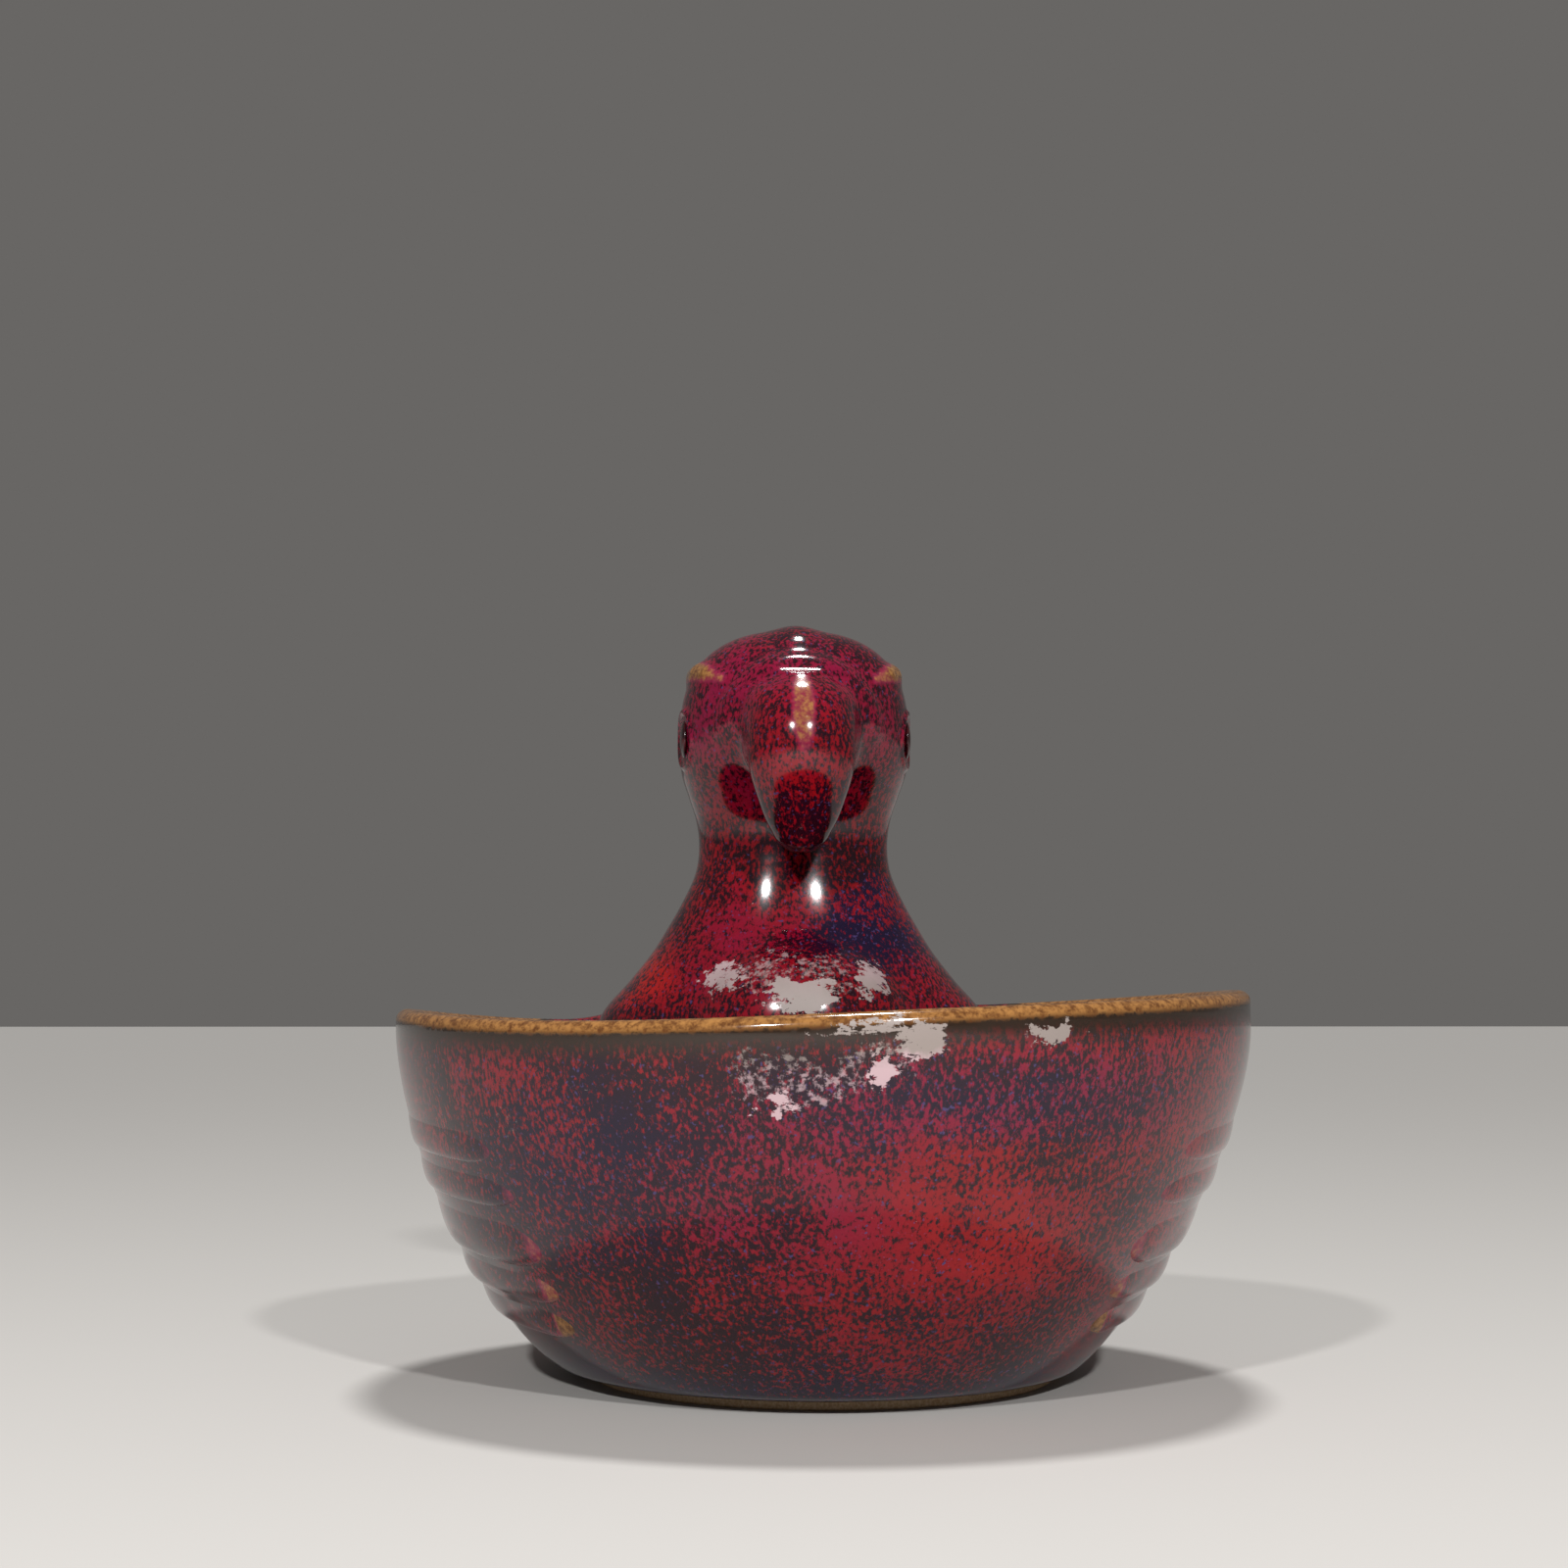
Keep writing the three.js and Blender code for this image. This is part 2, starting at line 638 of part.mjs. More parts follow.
function eye(name, side) {
  return meshFromSolid(name, eyeSolid(side).subtract(headSkin(SLIP_GAP)), darkGlaze());
}

// A coil that follows the side of the head all round the eye.
function eyeRing(name, side) {
  const rings = [];
  for (let i = 0; i < EYE_RING_STEPS; i++) {
    const turn = (2 * Math.PI * i) / EYE_RING_STEPS;
    const [out, up] = [Math.cos(turn), Math.sin(turn)];
    const centre = headSidePoint(side, eyeY + EYE_RING_RADIUS * out, eyeHeight + EYE_RING_RADIUS * up);
    const ring = [];
    for (let s = 0; s < RIDGE_SIDES; s++) {
      const around = (2 * Math.PI * s) / RIDGE_SIDES;
      const away = EYE_RING_COIL * Math.cos(around);
      const rise = EYE_RING_COIL * Math.sin(around);
      ring.push(new THREE.Vector3(centre.x + rise, centre.y + away * out, centre.z + away * up));
    }
    rings.push(ring);
  }
  const solid = loft(rings, { loop: true })
    .subtract(headSkin(SLIP_GAP))
    .subtract(eyeSolid(side, SLIP_GAP));
  return meshFromSolid(name, solid, glaze());
}

// Wings: thin slabs that follow the wall, thick at the lower edge and thin at the upper one

const BLUNT_SHARE = 0.14; // of a slab's height, over which its lower edge is rounded off
const BLUNT_THICKNESS = 0.62; // share of the full thickness left at the very edge
const SLAB_STEP = 4; // millimetres of height between the points that follow the wall
const LEAST_OPEN = 0.02; // keeps a round end a little blunt
const LIFT_POWER = 3; // how late along a feather it lifts towards the shoulder
const SINK_POWER = 1.5; // and how early it sinks towards its tip
const LOW_CLOSING = 0.5; // share of a slab's height by which its lower edge rises at a round end
const HIGH_CLOSING = 0.4; // and its upper edge falls

function thicknessShare(share) {
  if (share < BLUNT_SHARE) {
    return BLUNT_THICKNESS + (1 - BLUNT_THICKNESS) * (share / BLUNT_SHARE);
  }
  const fall = (share - BLUNT_SHARE) / (1 - BLUNT_SHARE);
  return 1 - fall * (1 - FEATHER_THIN / FEATHER_THICKNESS);
}

// How far open a slab is at a share of its length, from 0 at a round end to 1.
function openShare(fromEnd, roundness) {
  return Math.sqrt(1 - (1 - Math.min(1, (fromEnd + LEAST_OPEN) / roundness)) ** 2);
}

function slab({ side, tip, root, low, high, sink = 0, lift = 0, thickness, steps, roundTip, roundRoot }) {
  const rows = Math.max(2, Math.ceil((high - low) / SLAB_STEP));
  const shares = Array.from({ length: rows + 1 }, (_, row) => row / rows);
  const rings = [];
  for (let i = 0; i <= steps; i++) {
    const u = i / steps;
    const angle = (tip + (root - tip) * u) * DEGREE * side;
    const shift = lift * u ** LIFT_POWER - sink * (1 - u) ** SINK_POWER;
    const shut = 1 - openShare(u, roundTip) * openShare(1 - u, roundRoot);
    const bottom = low + shift + (high - low) * LOW_CLOSING * shut;
    const top = high + shift - (high - low) * HIGH_CLOSING * shut;
    const at = (share, out) => wallPoint(angle, bottom + (top - bottom) * share, out);
    const outer = [0, ...shares.map((share) => BLUNT_SHARE + (1 - BLUNT_SHARE) * share)]
      .map((share) => at(share, SLIP_GAP + thickness * thicknessShare(share)));
    const inner = shares.map((share) => at(1 - share, SLIP_GAP));
    rings.push([...outer, ...inner]);
  }
  return loft(rings);
}

function wingFeathers(prefix, side) {
  return FEATHER_EDGES.slice(0, -1).map((low, i) => meshFromSolid(
    `${prefix}_wing_feather_${i + 1}`,
    slab({
      side,
      tip: FEATHER_TIP_ANGLE,
      root: FEATHER_ROOT_ANGLE,
      low,
      high: FEATHER_EDGES[i + 1] - SLIP_GAP,
      sink: FEATHER_SINK,
      lift: FEATHER_LIFT,
      thickness: FEATHER_THICKNESS,
      steps: FEATHER_STEPS,
      ...FEATHER_ENDS,
    }),
    glaze(),
  ));
}

function wingCoverts(prefix, side) {
  return COVERT_EDGES.slice(0, -1).map((low, i) => meshFromSolid(
    `${prefix}_wing_covert_${i + 1}`,
    slab({
      side,
      tip: FEATHER_ROOT_ANGLE + ROW_ANGLE_GAP,
      root: COVERT_ROOT_ANGLE,
      low,
      high: COVERT_EDGES[i + 1] - SLIP_GAP,
      thickness: FEATHER_THICKNESS,
      steps: COVERT_STEPS,
      ...COVERT_ENDS,
    }),
    glaze(),
  ));
}

function shoulder(prefix, side) {
  return meshFromSolid(
    `${prefix}_shoulder`,
    slab({
      side,
      tip: COVERT_ROOT_ANGLE + ROW_ANGLE_GAP,
      root: SHOULDER_ROOT_ANGLE,
      low: SHOULDER_LOW,
      high: SHOULDER_HIGH,
      thickness: SHOULDER_THICKNESS,
      steps: SHOULDER_STEPS,
      ...SHOULDER_ENDS,
    }),
    glaze(),
  );
}

const washer = new THREE.Group();
const neckAndHead = new THREE.Group();
neckAndHead.position.x = NECK_ASIDE;
washer.add(meshFromSolid('bowl', bowlSolid(), glaze()), footRing(), neckAndHead);
neckAndHead.add(...mantleAndNeck(), head(), upperBeak(), lowerBeak(), cere(), crest());
for (const [prefix, side] of [['left', -1], ['right', 1]]) {
  neckAndHead.add(
    eye(`${prefix}_eye`, side),
    eyeRing(`${prefix}_eye_ring`, side),
    brow(`${prefix}_brow`, side),
  );
  washer.add(
    ...wingFeathers(prefix, side),
    ...wingCoverts(prefix, side),
    shoulder(prefix, side),
  );
}

export default washer;
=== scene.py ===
# %% [markdown]
# # A glazed brush washer in the form of a parrot
# The real thing is one piece of fired clay. A potter throws or presses the bowl, models the neck
# and the turned-back head, lutes them on with slip, presses the feathers on as thin slabs, and
# then covers everything but the foot with a copper-red flambé glaze, which hides every joint.
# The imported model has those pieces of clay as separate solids. Here they get the skin that the
# glaze gives them: one smooth skin over bowl, mantle and neck, one over the head, and the relief
# of the wings.

# %% Load the frame
import math

import bmesh
import bpy
import numpy as np
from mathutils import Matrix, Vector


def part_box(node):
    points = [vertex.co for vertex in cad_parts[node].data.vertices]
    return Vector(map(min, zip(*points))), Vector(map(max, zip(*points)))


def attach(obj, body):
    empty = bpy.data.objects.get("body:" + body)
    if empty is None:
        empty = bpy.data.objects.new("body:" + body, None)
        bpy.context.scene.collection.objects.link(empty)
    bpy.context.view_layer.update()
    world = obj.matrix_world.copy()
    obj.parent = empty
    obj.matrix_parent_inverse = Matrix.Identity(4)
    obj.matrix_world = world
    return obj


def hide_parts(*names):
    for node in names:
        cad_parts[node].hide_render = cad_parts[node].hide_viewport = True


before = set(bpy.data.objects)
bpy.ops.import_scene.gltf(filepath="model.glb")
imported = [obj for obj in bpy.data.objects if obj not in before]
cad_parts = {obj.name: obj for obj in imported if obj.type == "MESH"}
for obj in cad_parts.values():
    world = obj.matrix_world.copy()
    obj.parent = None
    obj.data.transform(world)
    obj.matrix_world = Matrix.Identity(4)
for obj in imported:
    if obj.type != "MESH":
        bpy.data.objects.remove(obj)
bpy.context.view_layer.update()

import openvdb

MM = 0.001

# %% [markdown]
# ## The camera
# The photograph looks at the open end of the bowl, from the height of its rim and slightly from
# the left. A long lens pitched up a little keeps the object low in the frame, as it is there.

# %% Camera
PHOTO_SIDE = 1600
FOCAL_PIXELS = 2742
HORIZON_PIXEL = 1036
MIDDLE_PIXEL = 838
SENSOR = 36.0
DISTANCE = 400 * MM
EYE_LEVEL = 52 * MM
AZIMUTH = math.radians(3)


def make_camera():
    data = bpy.data.cameras.new("camera")
    data.sensor_width = SENSOR
    data.lens = SENSOR * FOCAL_PIXELS / PHOTO_SIDE
    camera = bpy.data.objects.new("camera", data)
    bpy.context.scene.collection.objects.link(camera)
    aside = (MIDDLE_PIXEL - PHOTO_SIDE / 2) / FOCAL_PIXELS * DISTANCE
    ahead = np.array([math.sin(AZIMUTH), math.cos(AZIMUTH)])
    right = np.array([math.cos(AZIMUTH), -math.sin(AZIMUTH)])
    x, y = -DISTANCE * ahead - aside * right
    pitch = math.atan((HORIZON_PIXEL - PHOTO_SIDE / 2) / FOCAL_PIXELS)
    camera.location = (x, y, EYE_LEVEL)
    camera.rotation_euler = (math.pi / 2 + pitch, 0, -AZIMUTH)
    bpy.context.scene.camera = camera
    return camera


camera = make_camera()
print("camera at", [round(v, 3) for v in camera.location], "lens", round(camera.data.lens, 1))

# %% [markdown]
# ## Clay as a field
# Soft clay has no edges to bevel: every joint is a fillet. So the skins are made from a field, a
# function that is below zero inside the clay and above zero outside. Two fields join with a
# smooth minimum, which leaves a fillet of a chosen radius, as a wet finger does. A grid of the
# field's values becomes a mesh, and then each point is slid along the field's slope until it
# lies exactly on the surface, so that the highlights on the gloss run clean.

# %% Joining fields


def smooth_min(a, b, radius):
    h = np.clip(0.5 + 0.5 * (b - a) / radius, 0, 1)
    return b + (a - b) * h - radius * h * (1 - h)


def smooth_max(a, b, radius):
    return -smooth_min(-a, -b, radius)


def round_corner(a, b, radius):
    """The greater of two fields, with the inner corner between them turned to a true radius."""
    corner = np.hypot(np.maximum(a + radius, 0), np.maximum(b + radius, 0))
    return np.minimum(np.maximum(a, b), -radius) + corner


print("where two faces meet, a 5 mm fillet adds", -float(smooth_min(0.0, 0.0, 5.0)), "mm of clay")

# %% Curves and ovals


def curve_through(knots, values):
    """A smooth function of height through the given values."""
    knots = np.array(knots, float)
    values = np.array(values, float)
    slopes = np.gradient(values, knots)

    def value_at(z):
        z = np.clip(z, knots[0], knots[-1])
        i = np.clip(np.searchsorted(knots, z) - 1, 0, len(knots) - 2)
        gap = knots[i + 1] - knots[i]
        t = (z - knots[i]) / gap
        start = (1 + 2 * t) * (1 - t) ** 2 * values[i] + t * (1 - t) ** 2 * gap * slopes[i]
        return start + t * t * (3 - 2 * t) * values[i + 1] - t * t * (1 - t) * gap * slopes[i + 1]

    return value_at


def oval_field(p, half, front, back, power):
    """Distance, roughly, from a rounded oval whose size is given at each point's height."""
    middle, depth = (front + back) / 2, (back - front) / 2
    ratio = np.abs(p[:, 0] / half) ** power + np.abs((p[:, 1] - middle) / depth) ** power
    return (ratio ** (1 / power) - 1) * np.minimum(half, depth)


print("half way between 10 and 20:", float(curve_through([0, 1, 2], [10, 20, 30])(0.5)))

# %% Coils of clay
CHAIN_REACH = 4


def chain_field(p, points, radii):
    """Distance from a chain of rods that join the points, with a radius at each point."""
    points, radii = np.array(points, float), np.array(radii, float)
    reach = radii.max() + CHAIN_REACH
    near = np.all((p > points.min(0) - reach) & (p < points.max(0) + reach), axis=1)
    field = np.full(len(p), float(CHAIN_REACH))
    q = p[near]
    best = np.full(len(q), float(CHAIN_REACH))
    for a, b, ra, rb in zip(points[:-1], points[1:], radii[:-1], radii[1:]):
        along = np.clip((q - a) @ (b - a) / ((b - a) @ (b - a)), 0, 1)
        away = np.linalg.norm(q - a - along[:, None] * (b - a), axis=1)
        best = np.minimum(best, away - (ra + (rb - ra) * along))
    field[near] = best
    return field


coil = chain_field(np.array([(0.0, 3.0, 0.0)]), [(-1, 0, 0), (1, 0, 0)], [1, 1])
print("3 mm from the middle of a coil of radius 1 is", coil[0], "mm from its clay")

# %% [markdown]
# ## The bowl
# An oval bowl with a full belly, a wall of even thickness, a rounded lip that climbs from the left
# wing to the right one as it does in the photograph, and a basin whose wall runs into its floor
# in a wide curve. Its width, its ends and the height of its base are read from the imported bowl.
# The other sizes, in millimetres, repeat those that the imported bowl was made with, so the outer
# wall follows the same curve.

# %% Bowl field
bowl_low, bowl_high = [np.array(corner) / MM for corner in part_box("bowl")]
BELLY_HALF_WIDTH = bowl_high[0]
END_REACH = bowl_high[1] - bowl_high[0]
BASE_HALF_WIDTH = 35
BELLY_HEIGHT = 50
BELLY_ROUND = 1.6
BELLY_SWELL = 0.78
BELLY_LEAN = 0.08
BOWL_BASE = bowl_low[2]
BASIN_FLOOR = BOWL_BASE + 4.5
HALF_WALL = 1.6
RIM_HEIGHT = 52.45
RIM_TILT = 2.7
RIM_TILT_EASE = 1.3
RIM_RISE = 1.9
BASE_EDGE = 1.0
BASIN_CORNER = 11
AXIS_GAP = 1e-6  # at the bowl's axis there is no direction, so nothing is divided by less


def side_of(x, y):
    """How far a direction lies to the side: -1 left, 0 at the bowl's ends, 1 right."""
    across, along = x / BELLY_HALF_WIDTH, y / (BELLY_HALF_WIDTH + END_REACH)
    return across / np.maximum(np.hypot(across, along), AXIS_GAP)


def wall_half_width(z, side=0.0):
    """Half width of the oval at a height. The left flank is a little fuller than the right."""
    drop = 1 - np.clip(z, 0, BELLY_HEIGHT) / BELLY_HEIGHT
    fill = (1 - drop**BELLY_ROUND) ** (BELLY_SWELL + BELLY_LEAN * side)
    return BASE_HALF_WIDTH + (BELLY_HALF_WIDTH - BASE_HALF_WIDTH) * fill


def wall_slope(z, side=0.0, step=0.5):
    return (wall_half_width(z + step, side) - wall_half_width(z - step, side)) / (2 * step)


def rim_height(x, y):
    """The rim's height in the direction of a point."""
    side = side_of(x, y)
    return RIM_HEIGHT + RIM_TILT * side - RIM_TILT_EASE * side**3 + RIM_RISE * side**4


def bowl_field(p):
    x, y, z = p.T
    side = side_of(x, y)
    middle = wall_half_width(z, side) - HALF_WALL
    ratio = np.hypot(x / middle, y / (middle + END_REACH))
    away = (ratio - 1) * middle
    lean = 1 / np.sqrt(1 + wall_slope(z, side) ** 2)
    body = smooth_max((away - HALF_WALL) * lean, BOWL_BASE - z, BASE_EDGE)
    basin = round_corner((away + HALF_WALL) * lean, BASIN_FLOOR - z, BASIN_CORNER)
    lip_rise = z - (rim_height(x, y) - HALF_WALL)
    lip = np.hypot(away, np.maximum(lip_rise, 0)) - HALF_WALL
    return np.where(lip_rise < 0, np.maximum(body, -basin), lip)


bowl_size = [round(2 * reach, 1) for reach in (BELLY_HALF_WIDTH, bowl_high[1])]
print("bowl", bowl_size, "mm across and along, rim at", RIM_HEIGHT)

# %% [markdown]
# ## Neck, mantle and skull
# The neck flares down into the far end of the bowl and over its rim, and swells above the waist
# into a round head with a flat crown. In front of the neck's foot lies the mantle, the rounded
# lump of the bird's upper back. The crease where it meets the neck shows as an arc in the
# photograph, so the two join with a small radius, and the bowl with a wide one. Neck and head
# stand a little left of the bowl's middle, so their fields are measured from their own middle.

# %% Neck field
head_low, head_high = [np.array(corner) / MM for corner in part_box("head")]
BIRD_MIDDLE = np.array(((head_low[0] + head_high[0]) / 2, 0, 0))
NECK_HEIGHTS = [12, 22, 34, 44, 51.9, 58, 62.6, 66, 70, 76, 80, 84, 88, 91.4, 95, 98]
NECK_HALF_WIDTHS = [
    14.5, 22.4, 28, 31, 31.5, 26.5, 22.9, 20.8, 18.5, 15.9, 15.5, 16, 17.3, 18.4, 18.7, 18.7,
]
NECK_FRONTS = [44, 38, 30, 25, 23, 24, 25.4, 27, 28.3, 29.5, 29.9, 29.3, 27, 24.3, 22.4, 21.7]
NECK_BACKS = [53.8, 60.2, 65, 67, 68, 67, 64.5, 62.5, 60.3, 57.5, 56.4, 56.5, 57.5, 58.5, 59, 59]
NECK_POWER = 2.25
NECK_FOOT = 12
NECK_FILLET = 5
CROWN_START = 98
CROWN_TOP = 114.9
CROWN_POWER = 2.5
MANTLE_CENTRE = (0.6, 29, 49)
MANTLE_RADII = (18, 12.5, 15)
MANTLE_CREASE = 1.6
VENT_RADIUS = 1.25
VENT_HEIGHT = 37.9
VENT_DEPTH = 24
VENT_EDGE = 1
neck_half = curve_through(NECK_HEIGHTS, NECK_HALF_WIDTHS)
neck_front = curve_through(NECK_HEIGHTS, NECK_FRONTS)
neck_back = curve_through(NECK_HEIGHTS, NECK_BACKS)


def skull_field(p):
    """The neck and the head above it, closed by the crown."""
    z = np.minimum(p[:, 2], CROWN_START)
    half, front, back = neck_half(z), neck_front(z), neck_back(z)
    size = np.minimum(half, (back - front) / 2)
    side = oval_field(p, half, front, back, NECK_POWER) / size + 1
    rise = np.maximum(p[:, 2] - CROWN_START, 0) / (CROWN_TOP - CROWN_START)
    ratio = (np.maximum(side, 0) ** CROWN_POWER + rise**CROWN_POWER) ** (1 / CROWN_POWER)
    return (ratio - 1) * size


def mantle_field(p):
    ratio = np.linalg.norm((p - MANTLE_CENTRE) / MANTLE_RADII, axis=1)
    return (ratio - 1) * min(MANTLE_RADII)


def neck_field(p):
    p = p - BIRD_MIDDLE
    neck = smooth_max(skull_field(p), NECK_FOOT - p[:, 2], NECK_FILLET)
    return smooth_min(neck, mantle_field(p), MANTLE_CREASE)


def body_field(p):
    vent = np.hypot(p[:, 0] - BIRD_MIDDLE[0], p[:, 2] - VENT_HEIGHT) - VENT_RADIUS
    vent = np.maximum(vent, p[:, 1] - VENT_DEPTH)
    vent = np.maximum(vent, -p[:, 1])
    clay = smooth_min(bowl_field(p), neck_field(p), NECK_FILLET)
    return smooth_max(clay, -vent, VENT_EDGE)


above_rim = [z for z in NECK_HEIGHTS if z > RIM_HEIGHT]
waist = float(above_rim[np.argmin(neck_half(np.array(above_rim)))])
waist_width = float(2 * neck_half(waist))
print("waist of the neck", round(waist_width, 1), "mm wide, at a height of", round(waist, 1))

# %% [markdown]
# ## The head
# On the skull sit the hooked upper beak, the small lower beak, the arc that frames the beak's
# root, a low crest, the brows, and the coils round the eyes. Each was a lump or a coil of clay
# pressed on, so each joins with a small fillet. Down the middle of the upper beak the glaze runs
# thin, with no relief under it.

# %% On the skull
SKULL_REACH = 40.0
HALVINGS = 40


def on_skull(start, direction):
    """The point where a line from inside the head leaves it."""
    start = np.array(start, float)
    direction = np.array(direction, float) / np.linalg.norm(direction)
    near, far = 0.0, SKULL_REACH
    for _ in range(HALVINGS):
        reach = (near + far) / 2
        inside = skull_field((start + reach * direction)[None])[0] < 0
        near, far = (reach, far) if inside else (near, reach)
    return start + near * direction


HEAD_MIDDLE = (0, 40.2, 97)
print("crown", round(float(on_skull(HEAD_MIDDLE, (0, 0, 1))[2]), 1), "mm high")

# %% Upper beak
BEAK_HEIGHTS = [77.4, 78.3, 80.9, 85.9, 90.3, 94.9, 99.4, 103.4, 105.4]
BEAK_HALF_WIDTHS = [1.6, 3.0, 4.8, 6.9, 8.2, 8.6, 8.2, 6.4, 3.4]
BEAK_FRONTS = [18.0, 17.0, 15.6, 13.7, 12.2, 11.8, 13.0, 16.2, 19.0]
BEAK_BACKS = [21.2, 22.2, 23.4, 24.2, 26, 28, 28.5, 27, 25]
BEAK_POWER = 2.0
BEAK_FILLET = 5.5
TIP_FILLET = 1.6
TIP_HEIGHT = 80
CHEEK_HEIGHT = 92
beak_half = curve_through(BEAK_HEIGHTS, BEAK_HALF_WIDTHS)
beak_front = curve_through(BEAK_HEIGHTS, BEAK_FRONTS)
beak_back = curve_through(BEAK_HEIGHTS, BEAK_BACKS)


def beak_fillet(z):
    """Wide at the cheeks and narrow at the tip, which hangs free."""
    share = np.clip((z - TIP_HEIGHT) / (CHEEK_HEIGHT - TIP_HEIGHT), 0, 1)
    return TIP_FILLET + (BEAK_FILLET - TIP_FILLET) * share * share * (3 - 2 * share)


def upper_beak_field(p):
    z = np.clip(p[:, 2], BEAK_HEIGHTS[0], BEAK_HEIGHTS[-1])
    side = oval_field(p, beak_half(z), beak_front(z), beak_back(z), BEAK_POWER)
    beyond = np.abs(p[:, 2] - z)
    return np.where(beyond > 0, np.hypot(np.maximum(side, 0), beyond), side)


print("beak", 2 * max(BEAK_HALF_WIDTHS), "mm wide, its tip at", BEAK_HEIGHTS[0])

# %% Lower beak
LOWER_BEAK_CENTRE = (0, 26, 84.2)
LOWER_BEAK_RADII = (5, 5.4, 4.6)


def lower_beak_field(p):
    ratio = np.linalg.norm((p - LOWER_BEAK_CENTRE) / LOWER_BEAK_RADII, axis=1)
    return (ratio - 1) * min(LOWER_BEAK_RADII)


print("lower beak", [2 * radius for radius in LOWER_BEAK_RADII], "mm")

# %% [markdown]
# The ridges and the eye coils are chains of points that lie on the skull. Each chain is given by
# the angles or heights that it runs between, and the number of its points.

# %% Places of the ridges
CERE_HALF_WIDTH = 11.5
CERE_TOP = 107.1
CERE_RISE = 10.8
EYE_Y = 36
EYE_HEIGHT = 96.7
EYE_RADIUS = 3.1
EYE_BULGE = 0.75
EYE_RING = 4.5
RIDGE_SINK = 0.8
CREST_SINK = 2.6
CULMEN_SINK = 1.5
CERE_ARC = (-86, 86, 33)
CREST_ARC = (48, 132, 43)
EYE_RING_ARC = (0, 360, 49)
CULMEN_HEIGHTS = (104.5, 92, 9)
BROW_LINE = [(-9, 8.5), (-5, 9.8), (-1, 10.5), (4, 10.7), (8, 10.2), (11, 9.2)]
TAPER_POWER = 0.6
TAPER_END = 0.4


def arc(first, last, steps):
    return np.radians(np.linspace(first, last, steps))


def tapered(count, radius):
    """Radii along a coil that was rolled thinner towards both ends."""
    share = np.sin(np.linspace(0, math.pi, count)) ** TAPER_POWER
    return radius * (TAPER_END + (1 - TAPER_END) * share)


def pressed_on(start, direction, sink=RIDGE_SINK):
    """Where the middle of a coil lies that was pressed some way into the head."""
    direction = np.array(direction, float) / np.linalg.norm(direction)
    return on_skull(start, direction) - sink * direction


def cere_points():
    points = []
    for turn in arc(*CERE_ARC):
        x = CERE_HALF_WIDTH * math.sin(turn)
        z = CERE_TOP - CERE_RISE * (1 - math.cos(turn))
        points.append(pressed_on((x, HEAD_MIDDLE[1], z), (0, -1, 0)))
    return points


def crest_points():
    """Over the crown, from above the cere to the nape."""
    directions = [(0, -math.cos(turn), math.sin(turn)) for turn in arc(*CREST_ARC)]
    return [pressed_on(HEAD_MIDDLE, direction, CREST_SINK) for direction in directions]


def culmen_points():
    """The line of thin glaze down the middle of the beak's front."""
    return [(0, float(beak_front(z)) + CULMEN_SINK, z) for z in np.linspace(*CULMEN_HEIGHTS)]


def brow_points(side):
    """Above an eye, by steps along and above it in millimetres."""
    points = []
    for along, rise in BROW_LINE:
        points.append(pressed_on((0, EYE_Y + along, EYE_HEIGHT + rise), (side, 0, 0)))
    return points


def eye_ring_points(side):
    points = []
    for turn in arc(*EYE_RING_ARC):
        start = (0, EYE_Y + EYE_RING * math.cos(turn), EYE_HEIGHT + EYE_RING * math.sin(turn))
        points.append(on_skull(start, (side, 0, 0)))
    return points


# %% Head field
EYE_RING_COIL = 0.42
EYE_RING_FILLET = 0.5
EYE_RINGS = [eye_ring_points(side) for side in (-1, 1)]
RIDGES = [
    # points, radius, fillet, how thin the glaze runs on its crest. The line down the beak has no
    # fillet, which stands for no relief.
    (cere_points(), 1.2, 3.0, 0.55),
    (crest_points(), 2.0, 4.5, 0.4),
    (culmen_points(), 1.9, 0, 0.6),
    (brow_points(-1), 1.6, 1.6, 1.0),
    (brow_points(1), 1.6, 1.6, 1.0),
]


def head_field(p):
    p = p - BIRD_MIDDLE
    field = smooth_min(skull_field(p), upper_beak_field(p), beak_fillet(p[:, 2]))
    field = smooth_min(field, lower_beak_field(p), TIP_FILLET)
    for points, radius, fillet, _ in RIDGES:
        if fillet:
            field = smooth_min(field, chain_field(p, points, tapered(len(points), radius)), fillet)
    for ring in EYE_RINGS:
        coil = chain_field(p, ring, [EYE_RING_COIL] * len(ring))
        field = smooth_min(field, coil, EYE_RING_FILLET)
    return field


print("ridges", len(RIDGES), "eye rings", len(EYE_RINGS))

# %% [markdown]
# ## From field to skin
# The grid is turned into four-sided faces, and three steps along the slope put each point on the
# surface. The body is one skin. The head is a second, finer one, because its ridges are only a
# few millimetres wide. They meet at the waist of the neck in a flat cut, so that each is a closed
# body. The slope also gives the exact direction that the surface faces at each point. That is
# kept as the shading normal, so no seam shows and the reflections in the gloss stay smooth.

# %% Slope and settling
SETTLE_STEPS = 3
SLOPE_STEP = 0.05
LEAST_SLOPE = 0.05
TINY = 1e-9


def slope_of(field, p):
    slope = np.empty_like(p)
    for axis in range(3):
        step = np.zeros(3)
        step[axis] = SLOPE_STEP
        slope[:, axis] = (field(p + step) - field(p - step)) / (2 * SLOPE_STEP)
    return slope


def settle(field, p, limit):
    """Slides points on to the surface where the field is zero."""
    for _ in range(SETTLE_STEPS):
        slope = slope_of(field, p)
        steep = np.maximum((slope**2).sum(1), LEAST_SLOPE)
        move = -(field(p) / steep)[:, None] * slope
        size = np.linalg.norm(move, axis=1, keepdims=True)
        p = p + move * np.minimum(1, limit / np.maximum(size, TINY))
    return p


probe = settle(mantle_field, np.array([(0.6, 16.0, 49.0)]), MANTLE_RADII[0])
print("a point in front of the mantle slides to", probe.round(2).tolist())

# %% From grid to faces


